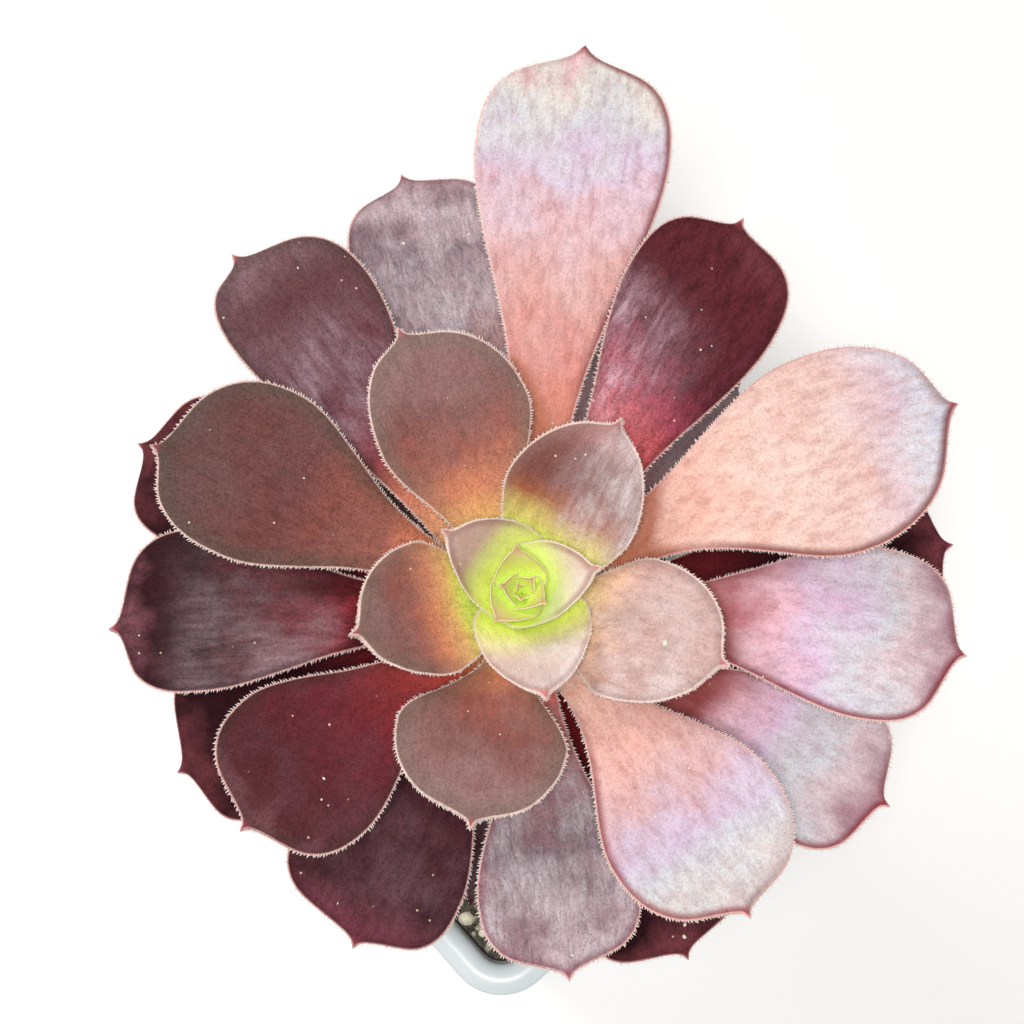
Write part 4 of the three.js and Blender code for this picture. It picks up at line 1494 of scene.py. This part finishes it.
        share = np.append(share.ravel(), 1.0)
        across = np.append(across.ravel(), 0.0)
        under = np.append(np.tile(face_ring < 0, rows), False)
        flat = np.column_stack([share * self.length, self.half_width(share) * (across + self.skew)])
        kept = {
            Kept.ALONG.value: share - self.youth,
            Kept.ACROSS.value: across,
            Kept.MARGIN.value: self.margin_distance(flat),
            Kept.TIP.value: np.hypot(flat[:, 0] - self.length, flat[:, 1]),
            Kept.UNDERSIDE.value: under.astype(float),
            Kept.PLACE.value: np.column_stack([flat, np.full(len(flat), self.PATTERN_SHIFT * self.seed)]),
        }
        return (self.placed(np.vstack([points.reshape(-1, 3), tip])), faces), kept

    def scattered(self) -> Array:
        """Scatters places evenly over the upper face.

        Returns:
            The places, in the part's frame.
        """
        share = np.linspace(self.SCATTER_START, 1, self.SCATTER_ROWS)
        across = np.linspace(-1, 1, self.SCATTER_COLUMNS)
        share, across = np.meshgrid(share, across, indexing="ij")
        return self.placed(self.surface(share, across, np.ones_like(share)).reshape(-1, 3))

    def wrap_base(self, base: Array) -> None:
        """Bends the first row of points round the stem, as a leaf's base clasps it.

        Args:
            base: the row's places in the blade's own frame, which are changed.
        """
        radius = self.stem.radius(self.seat + base[:, 2]) + self.stem_gap
        angle = np.clip(base[:, 1] / radius, -self.WRAP_LIMIT, self.WRAP_LIMIT)
        base[:, 0] = radius * np.cos(angle)
        base[:, 1] = radius * np.sin(angle)

    def margin_distance(self, flat: Array) -> Array:
        """Distance of places from the blade's outline.

        Args:
            flat: places on the flattened leaf, in millimetres.

        Returns:
            Distances, in millimetres.
        """
        fine = self.row_shares()
        fine = np.sort(np.concatenate([fine, (fine[1:] + fine[:-1]) / 2, [1.0]]))
        half = self.half_width(fine)
        outline = np.vstack([
            np.column_stack([fine * self.length, half * (side + self.skew)]) for side in (-1, 1)
        ])
        distance = np.full(len(flat), np.inf)
        for x, y in outline:
            distance = np.minimum(distance, (flat[:, 0] - x) ** 2 + (flat[:, 1] - y) ** 2)
        return np.sqrt(distance)

    def hairs(self, spacing: float) -> tuple[Shape, dict[str, Array]]:
        """Builds the hairs that stand along both margins.

        Args:
            spacing: distance between neighbouring hairs, in millimetres.

        Returns:
            Their shape, and what the points keep for the material.
        """
        random = np.random.default_rng(self.HAIR_SEED + self.seed)
        fine = np.linspace(*self.HAIR_SPAN, self.HAIR_STEPS)
        _, _, up = self.frame_at(fine)
        shapes: list[Shape] = []
        for margin in (-1.0, 1.0):
            line = self.surface(fine, np.full_like(fine, margin), np.zeros_like(fine))
            tangent = np.gradient(line, axis=0)
            tangent /= np.linalg.norm(tangent, axis=1)[:, None]
            outward = np.cross(up, tangent) * margin
            outward /= np.linalg.norm(outward, axis=1)[:, None]
            walked = np.concatenate([[0], np.cumsum(np.linalg.norm(np.diff(line, axis=0), axis=1))])
            count = int(walked[-1] / spacing)
            jitter = random.uniform(-self.HAIR_JITTER, self.HAIR_JITTER, count)
            spots = (np.arange(count) + jitter + 0.5) * spacing
            for index in np.searchsorted(walked, spots).clip(0, len(fine) - 1):
                lean = math.radians(random.normal(*self.HAIR_LEAN))
                tilt = random.normal(*self.HAIR_TILT)
                direction = outward[index] * math.cos(lean) + tangent[index] * math.sin(lean)
                direction += up[index] * tilt
                size = self.hair * random.uniform(*self.HAIR_SIZES)
                root = line[index] - self.HAIR_DEPTH * outward[index] + self.HAIR_SEAT * up[index]
                shapes.append(self.one_hair(root, direction * size, tangent[index], up[index]))
        points, faces = join_shapes(shapes)
        along = np.tile([0.0] * 3 + [self.HAIR_NECK] * 3 + [1.0], len(shapes))
        return (self.placed(points), faces), {Kept.ALONG.value: along}

    def one_hair(self, root: Array, reach: Array, tangent: Array, up: Array) -> Shape:
        """Builds one hair, a flattened tooth that tapers and bows towards the leaf's tip.

        Args:
            root: where it stands.
            reach: from its root to its tip.
            tangent: direction along the margin.
            up: direction away from the leaf's upper face.

        Returns:
            Its shape.
        """
        rings = []
        for share, size in ((0.0, 1.0), (self.HAIR_NECK, self.HAIR_NECK_SIZE)):
            centre = root + reach * share
            wide = self.HAIR_WIDTH * size * tangent
            rings += [centre - wide, centre + wide, centre + self.HAIR_HEIGHT * size * up]
        tip = root + reach + tangent * self.HAIR_BOW * float(np.linalg.norm(reach))
        faces = [(a, (a + 1) % 3, 3 + (a + 1) % 3, 3 + a) for a in range(3)]
        faces += [(3 + a, 3 + (a + 1) % 3, 6) for a in range(3)]
        return np.vstack([rings, tip]), faces


@dataclass(frozen=True)
class BudLeaf:
    """Sizes of one leaf still wrapped round the growing point: drift off the spiral, reach, width,
    and how steeply it rises. It leans outward at its tip."""

    drift: float
    reach: float
    width: float
    rise: float


@dataclass(frozen=True)
class FallenGrain:
    """A grain of the soil that lies on a leaf: which leaf, where along and across it, and its
    radius."""

    leaf: int
    along: float
    across: float
    size: float


@dataclass
class Rosette:
    """All the leaves: the open ones on the stem, and the bud at the growing point."""

    stem: Stem
    seat_gap: float = 0.3
    hair_spacing: float = 0.42
    bud_hair_spacing: float = 0.45
    bud_start: float = 0.5
    bud_seat: float = 0.4
    bud_lean: float = 34.0
    shade_reach: float = 5.5
    bud_leaves: tuple[BudLeaf, ...] = (
        BudLeaf(0, 6.5, 8.2, 36),
        BudLeaf(4, 6.3, 7.8, 42),
        BudLeaf(7, 4.4, 6.0, 52),
        BudLeaf(-5, 3.4, 5.0, 58),
        BudLeaf(0, 2.6, 4.2, 64),
        BudLeaf(0, 1.9, 3.4, 70),
        BudLeaf(0, 1.3, 2.6, 76),
    )
    fallen: tuple[FallenGrain, ...] = (
        FallenGrain(5, 0.67, -0.05, 0.8),
        FallenGrain(12, 0.72, 0.25, 0.34),
        FallenGrain(15, 0.93, 0.12, 0.42),
        FallenGrain(19, 0.82, 0.3, 0.36),
        FallenGrain(23, 0.93, 0.1, 0.5),
        FallenGrain(23, 0.9, 0.16, 0.4),
        FallenGrain(9, 0.6, -0.2, 0.22),
        FallenGrain(3, 0.7, 0.3, 0.2),
        FallenGrain(16, 0.7, -0.4, 0.22),
        FallenGrain(13, 0.8, -0.1, 0.26),
        FallenGrain(7, 0.55, 0.2, 0.2),
        FallenGrain(20, 0.9, -0.3, 0.24),
    )
    skins: dict[Tone, bpy.types.Material] = field(default_factory=dict)

    BUD_SEED = 40
    GRAIN_SEED = 11
    GRAIN_LUMPS = (0.7, 1.2)
    GRAIN_WIDTHS = (0.5, 0.8)
    GRAIN_HEIGHT = 0.35
    GRAIN_LIFT = 0.2

    def skin(self, tone: Tone) -> bpy.types.Material:
        """Makes a tone's material once, for all the leaves of the tone.

        Args:
            tone: the tone.

        Returns:
            The material.
        """
        if tone not in self.skins:
            self.skins[tone] = tone.value.material()
        return self.skins[tone]

    def build(self) -> None:
        """Builds the open leaves with their hairs, then the bud."""
        rule = LeafRule(self.stem)
        hair = LeafHair().material()
        above: list[Array] = []
        for order, form in enumerate(OPEN_LEAVES):
            name = f"leaf_{order + 1:02d}"
            blade = rule.blade(form, order)
            shape, kept = blade.skin()
            # How near the leaves above lie, for the painted shade beside their edges.
            kept[Kept.SHADED.value] = self.shade_from(above, shape[0])
            above.append(blade.scattered())
            piece = mesh_piece(f"{name}_blade", shape, self.skin(form.tone), kept)
            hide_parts(name)
            shape, kept = blade.hairs(self.hair_spacing)
            mesh_piece(f"{name}_hairs", shape, hair, kept)
        self.build_bud(rule, hair)
        self.drop_grains(rule)

    def drop_grains(self, rule: LeafRule) -> None:
        """Lays the fallen grains on their leaves.

        Args:
            rule: the rosette's rule.
        """
        random = np.random.default_rng(self.GRAIN_SEED)
        ball, faces = round_start(1)
        grains: list[Shape] = []
        for grain in self.fallen:
            blade = rule.blade(OPEN_LEAVES[grain.leaf], grain.leaf)
            spot = blade.surface(np.array([grain.along]), np.array([grain.across]), np.ones(1))
            lumps = random.uniform(*self.GRAIN_LUMPS, len(ball))[:, None]
            widths = np.array([1.0, random.uniform(*self.GRAIN_WIDTHS), self.GRAIN_HEIGHT])
            spin = np.array(Matrix.Rotation(random.uniform(0, 2 * np.pi), 3, "Z"))
            points = ball * lumps * (widths * grain.size) @ spin.T
            points = points + spot + [0, 0, self.GRAIN_LIFT * grain.size]
            grains.append((blade.placed(points), faces))
        dust = Mineral("perlite_dust", "e0dacc", "fffaf0", pore=0.3)
        mesh_piece("fallen_grains", join_shapes(grains), dust.material())

    def shade_from(self, above: list[Array], points: Array) -> Array:
        """Works out how much of the light from above the other leaves keep off a leaf.

        Args:
            above: places scattered over each leaf that lies above it.
            points: the leaf's own points.

        Returns:
            1 under the leaves above, and less with the distance from them, seen from the top.
        """
        places = np.vstack([np.full((1, 3), 1e6)] + above)
        tree = KDTree(len(places))
        for index, (x, y, _) in enumerate(places.tolist()):
            tree.insert((x, y, 0.0), index)
        tree.balance()
        distance = np.array([tree.find((x, y, 0.0))[2] for x, y, _ in points.tolist()])
        return 1 - ease(distance, 0.0, self.shade_reach)

    def build_bud(self, rule: LeafRule, hair: bpy.types.Material) -> None:
        """Builds the leaves that are still wrapped round the growing point.

        Args:
            rule: the rosette's rule.
            hair: the hairs' material.
        """
        skins = []
        hairs = []
        for place, leaf in enumerate(self.bud_leaves):
            blade = Blade(
                seed=self.BUD_SEED + place,
                turn=rule.first_turn - rule.GOLDEN_ANGLE * (place + 1) + leaf.drift,
                seat=self.stem.top + self.seat_gap + self.bud_seat,
                start=self.bud_start,
                reach=leaf.reach,
                width=leaf.width,
                belly=0.42,
                base_rise=leaf.rise + self.bud_lean / 2,
                tip_rise=leaf.rise - self.bud_lean / 2,
                waist=0.7 * leaf.width,
                roundness=1.35,
                spoon=0.8,
                thickness=0.9,
                cup=0.55,
                point=0.4,
                hair=0.2,
                ripple=0.02,
                edge_thickness=0.35,
                rows=48,
                columns=19,
            )
            skins.append(blade.skin())
            hairs.append(blade.hairs(self.bud_hair_spacing))
        leaves = self.bud_piece("heart_bud_leaves", skins, self.skin(Tone.BUD))
        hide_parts("heart_bud")
        self.bud_piece("heart_bud_hairs", hairs, hair)

    def bud_piece(
        self,
        name: str,
        parts: list[tuple[Shape, dict[str, Array]]],
        material: bpy.types.Material,
    ) -> bpy.types.Object:
        """Joins what the bud's leaves have of one kind into one piece.

        Args:
            name: the piece's name.
            parts: each leaf's shape, and what its points keep for the material.
            material: the material of the piece.

        Returns:
            The piece.
        """
        points, faces = join_shapes([shape for shape, _ in parts])
        kept = {key: np.concatenate([part[key] for _, part in parts]) for key in parts[0][1]}
        kept[Kept.SHADED.value] = np.zeros(len(points))
        return mesh_piece(name, (self.stem.placed(points), faces), material, kept)


# ---- Pot ------------------------------------------------------------------------------------


@dataclass(frozen=True)
class Pot:
    """The square, tapered pot with rounded corners and a rolled rim."""

    height: float = 68.0
    half_side: float = 39.0
    base_half_side: float = 29.0
    corner_radius: float = 9.0
    rim_width: float = 5.0
    base_wall: float = 4.5
    floor_thickness: float = 5.0
    foot_rounding: float = 1.5
    drain_radius: float = 2.5
    drain_offset: float = 12.0
    corner_steps: int = 16
    side_steps: int = 10
    rim_steps: int = 18
    wall_steps: int = 24
    drain_sides: int = 32

    # Painted shade on the sides of the rolled rim: how strong it is, and how far up and down it reaches.
    RIM_SIDE_SHADE = 0.6
    RIM_SIDE_SHADE_WIDTH = 0.9

    @property
    def rim_radius(self) -> float:
        """Radius of the rolled rim."""
        return self.rim_width / 2

    def inner_half_side(self, height: float) -> float:
        """Works out how far the inner wall stands from the pot's axis.

        Args:
            height: height above the ground.

        Returns:
            Half the distance between opposite inner walls.
        """
        top = self.height - self.rim_radius
        share = (height - self.floor_thickness) / (top - self.floor_thickness)
        return lerp(self.base_half_side - self.base_wall, self.half_side - self.rim_width, share)

    def square_ring(self, half_side: float, corner_radius: float, height: float) -> Array:
        """Draws a level square ring with rounded corners and evenly cut sides.

        Args:
            half_side: half its side.
            corner_radius: radius of its corners.
            height: its height.

        Returns:
            Its points.
        """
        ring = []
        for corner in range(4):
            diagonal = math.radians(90 * corner + 45)
            reach = (half_side - corner_radius) * math.sqrt(2)
            centre = np.array([reach * math.cos(diagonal), reach * math.sin(diagonal)])
            for step in range(self.corner_steps + 1):
                angle = math.radians(90 * corner + 90 * step / self.corner_steps)
                ring.append(centre + corner_radius * np.array([math.cos(angle), math.sin(angle)]))
            turned = np.array([-centre[1], centre[0]])
            end = ring[-1]
            start = turned + corner_radius * np.array([math.cos(angle), math.sin(angle)])
            for step in range(1, self.side_steps):
                ring.append(lerp(end, start, step / self.side_steps))
        flat = np.array(ring)
        return np.column_stack([flat, np.full(len(flat), height)])

    def rounded_edge(
        self, half_side: float, height: float, radius: float, start: float, end: float
    ) -> list[Array]:
        """Draws square rings along an arc that rounds an edge.

        Args:
            half_side: half the side of the widest ring.
            height: height of the arc's middle.
            radius: radius of the arc.
            start: angle at which the arc starts, from straight outward.
            end: angle at which it ends.

        Returns:
            The rings.
        """
        rings = []
        for step in range(self.rim_steps + 1):
            angle = math.radians(lerp(start, end, step / self.rim_steps))
            out = radius * (math.cos(angle) - 1)
            level = height + radius * math.sin(angle)
            rings.append(self.square_ring(half_side + out, self.corner_radius + out, level))
        return rings

    def build(self) -> None:
        """Builds the pot and cuts its drain holes."""
        foot = self.rounded_edge(self.base_half_side, self.foot_rounding, self.foot_rounding, -90, 0)
        rim = self.rounded_edge(self.half_side, self.height - self.rim_radius, self.rim_radius, 0, 180)
        base_corner = self.corner_radius - self.rim_width
        inner = self.square_ring(self.base_half_side - self.base_wall, base_corner, self.floor_thickness)
        shares = np.arange(1, self.wall_steps + 1) / self.wall_steps
        wall = [lerp(foot[-1], rim[0], share) for share in shares[:-1]]
        inside = [lerp(rim[-1], inner, share) for share in shares]
        rings = foot + wall + rim + inside
        points = np.vstack(rings)
        # The rim gets painted shade, strongest on the outer and inner sides of its roll.
        below = np.abs(points[:, 2] - (self.height - self.rim_radius)) / self.RIM_SIDE_SHADE_WIDTH
        shape = (points, ring_faces(len(rings), len(inner)))
        piece = mesh_piece("pot_glazed", shape, PotGlaze().material(), {
            Kept.MARGIN.value: self.RIM_SIDE_SHADE * np.exp(-(below**2)),
        })
        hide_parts("pot")
        self.drill(piece)

    def drill(self, piece: bpy.types.Object) -> None:
        """Cuts the four drain holes through the floor.

        Args:
            piece: the pot.
        """
        angles = np.linspace(0, 2 * np.pi, self.drain_sides, endpoint=False)
        circle = self.drain_radius * np.column_stack([np.cos(angles), np.sin(angles)])
        shapes = []
        for x, y in ((1, 0), (0, 1), (-1, 0), (0, -1)):
            moved = circle + self.drain_offset * np.array([x, y])
            rings = [
                np.column_stack([moved, np.full(self.drain_sides, level)])
                for level in (-1.0, self.floor_thickness + 1.0)
            ]
            shapes.append((np.vstack(rings), ring_faces(2, self.drain_sides)))
        points, faces = join_shapes(shapes)
        mesh = bpy.data.meshes.new("drain_cutter")
        mesh.from_pydata((points * MM).tolist(), [], faces)
        cutter = bpy.data.objects.new("drain_cutter", mesh)
        bpy.context.scene.collection.objects.link(cutter)
        cut = piece.modifiers.new("drain_holes", "BOOLEAN")
        cut.operation = "DIFFERENCE"
        cut.object = cutter
        evaluated = piece.evaluated_get(bpy.context.evaluated_depsgraph_get())
        drilled = bpy.data.meshes.new_from_object(evaluated)
        piece.modifiers.clear()
        piece.data = drilled
        bpy.data.objects.remove(cutter)


# ---- Soil -----------------------------------------------------------------------------------


@dataclass(frozen=True)
class Grit:
    """One kind of loose grain on the soil: how many, how big and how angular. Some lie at known
    places, given as x, y and radius."""

    name: str
    finish: Mineral
    count: int
    smallest: float
    largest: float
    roughness: float
    flatness: float = 0.75
    placed: tuple[tuple[float, float, float], ...] = ()


@dataclass(frozen=True)
class Soil:
    """Gritty soil with loose stones on it. It fills the pot to a little below the rim."""

    pot: Pot
    stem: Stem
    level: float = 62.5
    mound: float = 0.6
    gap: float = 0.3
    rings: int = 60
    sunk: float = 0.35
    kinds: tuple[Grit, ...] = (
        Grit(
            "pumice_grains", Mineral("pumice_cream", "d8d0ac", "fffbe8"),
            count=60, smallest=0.8, largest=1.6, roughness=0.1, flatness=0.9,
            placed=((-31.9, -23.6, 1.45), (-31.4, -27.1, 0.8)),
        ),
        Grit(
            "white_grains", Mineral("perlite_white", "d4cebe", "faf6ee", pore=0.35),
            count=150, smallest=0.3, largest=0.75, roughness=0.2,
        ),
        Grit(
            "grey_grit", Mineral("basalt_grit", "5c5850", "d4d0c0", pore=0.4),
            count=950, smallest=0.45, largest=1.2, roughness=0.3,
        ),
        Grit(
            "bark_crumbs", Mineral("bark_crumb", "3a3026", "8c7c64", pore=0.3),
            count=420, smallest=0.35, largest=0.9, roughness=0.35, flatness=0.5,
        ),
    )
    hole_levels: tuple[float, ...] = (60.0, 45.0, 33.0)

    SEED = 3
    UNEVENNESS = 0.22
    ODD_LIMIT = 1.6
    TRIES = 40
    CLOSENESS = 0.75
    FINE_FROM = 1.3
    GRAIN_WIDTHS = (0.75, 1)

    def around_stem(self, edge: Array, height: float) -> Array:
        """Draws a ring of points close round the stem.

        Args:
            edge: the outer edge's points, one for each of the ring's.
            height: the ring's height.

        Returns:
            Its points.
        """
        middle = np.array([self.stem.offset, 0])
        direction = edge[:, :2] - middle
        direction /= np.linalg.norm(direction, axis=1)[:, None]
        flat = direction * (float(self.stem.radius(height)) + self.gap) + middle
        return np.column_stack([flat, np.full(len(flat), height)])

    def build(self) -> None:
        """Builds the soil body, then each kind of grain on it."""
        random = np.random.default_rng(self.SEED)
        corner = self.pot.corner_radius - self.pot.rim_width - self.gap
        floor = self.pot.floor_thickness + self.gap
        bottom = self.pot.square_ring(self.pot.inner_half_side(floor) - self.gap, corner, floor)
        edge = self.pot.square_ring(self.pot.inner_half_side(self.level) - self.gap, corner, self.level)
        rim = self.around_stem(edge, self.level + self.mound)
        rings = [bottom, edge]
        for step in range(1, self.rings):
            ring = lerp(edge, rim, step / self.rings)
            odds = random.standard_normal(len(ring)).clip(-self.ODD_LIMIT, self.ODD_LIMIT)
            ring[:, 2] += self.UNEVENNESS * odds
            rings.append(ring)
        rings.append(rim)
        foot = self.stem.outline[0][0] - self.gap
        rings += [self.around_stem(edge, height) for height in (*self.hole_levels, foot)]
        shape = (np.vstack(rings), ring_faces(len(rings), len(edge)))
        finish = Mineral("soil_loam", "302c26", "6c6658", roughness=0.95)
        piece = mesh_piece("soil_body", shape, finish.material())
        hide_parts("soil")
        taken: list[tuple[float, float, float]] = []
        for kind in self.kinds:
            self.scatter(kind, random, taken)

    def scatter(
        self, kind: Grit, random: np.random.Generator, taken: list[tuple[float, float, float]]
    ) -> None:
        """Lays one kind of grain on the soil, half sunk, clear of the stem and mostly of the others.

        Args:
            kind: the kind of grain.
            random: the stream of random numbers.
            taken: places and sizes of the grains that lie there already.
        """
        ball = round_start(2 if kind.largest > self.FINE_FROM else 1)
        span = self.pot.inner_half_side(self.level) - self.gap
        first = len(taken)
        taken.extend(kind.placed)
        for _ in range(self.TRIES * kind.count):
            size = lerp(kind.smallest, kind.largest, random.random() ** 2)
            x, y = random.uniform(-1, 1, 2) * (span - size)
            from_stem = math.hypot(x - self.stem.offset, y)
            if from_stem < float(self.stem.radius(self.level)) + size + self.gap:
                continue
            if any(
                (x - u) ** 2 + (y - v) ** 2 < (self.CLOSENESS * (size + s)) ** 2 for u, v, s in taken
            ):
                continue
            taken.append((x, y, size))
            if len(taken) - first >= kind.count:
                break
        grains = [self.grain(kind, ball, random, spot) for spot in taken[first:]]
        mesh_piece(kind.name, join_shapes(grains), kind.finish.material())

    def grain(
        self,
        kind: Grit,
        ball: Shape,
        random: np.random.Generator,
        spot: tuple[float, float, float],
    ) -> Shape:
        """Shapes one grain and lays it on the soil.

        Args:
            kind: the kind of grain.
            ball: the round shape that it starts from.
            random: the stream of random numbers.
            spot: its place and radius.

        Returns:
            Its shape.
        """
        x, y, size = spot
        points, faces = ball
        lumps = random.uniform(1 - kind.roughness, 1 + kind.roughness, len(points))
        widths = np.array([1, random.uniform(*self.GRAIN_WIDTHS), kind.flatness]) * size
        angle = random.uniform(0, 2 * np.pi)
        axis = random.standard_normal(3).tolist()
        turn = np.array(Matrix.Rotation(angle, 3, axis))
        span = self.pot.inner_half_side(self.level)
        mound = self.mound * max(0.0, 1 - math.hypot(x - self.stem.offset, y) / span)
        centre = [x, y, self.level + mound + self.sunk * size]
        return points * lumps[:, None] * widths @ turn.T + centre, faces


def round_start(subdivisions: int) -> Shape:
    """Makes an evenly cut ball of radius 1 to shape a stone from.

    Args:
        subdivisions: how finely it is cut.

    Returns:
        Its shape.
    """
    draft = bmesh.new()
    bmesh.ops.create_icosphere(draft, subdivisions=subdivisions, radius=1.0)
    points = np.array([v.co[:] for v in draft.verts])
    faces = [tuple(v.index for v in f.verts) for f in draft.faces]
    draft.free()
    return points, faces


# ---- Studio ---------------------------------------------------------------------------------


@dataclass(frozen=True)
class SoftLight:
    """A square soft light: where it hangs and points, as seen in the picture, its side in
    millimetres, its power in watts and its colour."""

    name: str
    place: tuple[float, float, float]
    side: float
    power: float
    colour: str
    target: tuple[float, float, float] = (0.0, 0.0, 110.0)


@dataclass(frozen=True)
class Studio:
    """White floor, soft light and a camera that looks down on the rosette."""

    stem: Stem
    tilt: float = 15.0
    distance: float = 350.0
    aim: tuple[float, float, float] = (-1.4, 9.466, 135.536)
    focal_px: float = 2500.0
    frame_px: float = 1024.0
    sensor: float = 36.0
    air: float = 0.33
    floor_radii: tuple[float, ...] = (60.0, 200.0, 600.0, 1800.0, 5000.0)
    floor_sides: int = 64
    lights: tuple[SoftLight, ...] = (
        SoftLight("overhead_light", (-60, -320, 1400), side=300, power=13.0, colour="fffaf6"),
        SoftLight("window_light", (-800, 660, 720), side=600, power=6.0, colour="fff8f2"),
    )

    def in_frame(self, point: Sequence[float]) -> Vector:
        """Turns a place as seen in the picture to the part's frame.

        Args:
            point: its x to the right, y away and z up, in millimetres from the stem's foot.

        Returns:
            The place in metres.
        """
        turned = Matrix.Rotation(math.radians(self.stem.turn), 3, "Z") @ Vector(point)
        return (turned + Vector((self.stem.offset, 0, 0))) * MM

    def build(self) -> None:
        """Builds the camera, the floor and the lights."""
        self.set_camera()
        self.lay_floor()
        for light in self.lights:
            self.hang(light)
        world = bpy.data.worlds.new("studio_air")
        bpy.context.scene.world = world
        world.use_nodes = True
        background = world.node_tree.nodes["Background"]
        background.inputs[0].default_value = linear("ffffff")
        background.inputs[1].default_value = self.air
        bpy.context.scene.view_settings.view_transform = "Standard"

    def set_camera(self) -> None:
        """Places the camera at the picture's viewing angle."""
        tilt = math.radians(self.tilt)
        back = Vector((0, -math.sin(tilt), math.cos(tilt)))
        data = bpy.data.cameras.new("camera")
        data.sensor_width = self.sensor
        data.lens = self.focal_px / self.frame_px * self.sensor
        data.clip_start = 0.01
        camera = bpy.data.objects.new("camera", data)
        bpy.context.scene.collection.objects.link(camera)
        camera.location = self.in_frame(Vector(self.aim) + self.distance * back)
        turned = Matrix.Rotation(math.radians(self.stem.turn), 4, "Z")
        camera.rotation_euler = (turned @ Matrix.Rotation(tilt, 4, "X")).to_euler()
        bpy.context.scene.camera = camera

    def hang(self, light: SoftLight) -> None:
        """Hangs one soft light.

        Args:
            light: the light.
        """
        data = bpy.data.lights.new(light.name, "AREA")
        data.size = light.side * MM
        data.energy = light.power
        data.color = linear(light.colour)[:3]
        lamp = bpy.data.objects.new(light.name, data)
        bpy.context.scene.collection.objects.link(lamp)
        lamp.location = self.in_frame(light.place)
        aim = self.in_frame(light.target) - lamp.location
        lamp.rotation_euler = aim.to_track_quat("-Z", "Y").to_euler()

    def lay_floor(self) -> None:
        """Lays a round floor, cut in rings so that it isn't one bare face."""
        angles = np.linspace(0, 2 * np.pi, self.floor_sides, endpoint=False)
        circle = np.column_stack([np.cos(angles), np.sin(angles), 0 * angles])
        points = np.vstack([radius * circle for radius in self.floor_radii])
        faces = ring_faces(len(self.floor_radii), self.floor_sides, closed_end=False)
        faces = [tuple(reversed(face)) for face in faces]
        mesh = bpy.data.meshes.new("studio_floor")
        mesh.from_pydata((points * MM).tolist(), [], faces)
        mesh.materials.append(FloorPaint().material())
        floor = bpy.data.objects.new("studio_floor", mesh)
        bpy.context.scene.collection.objects.link(floor)


# ---- Assembly -------------------------------------------------------------------------------


def main() -> None:
    """Builds the scene round the frame."""
    logging.basicConfig(level=logging.INFO, format="%(message)s")
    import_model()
    stem = Stem()
    Studio(stem).build()
    pot = Pot()
    pot.build()
    Soil(pot, stem).build()
    stem.build()
    Rosette(stem).build()


if __name__ == "__main__":
    main()
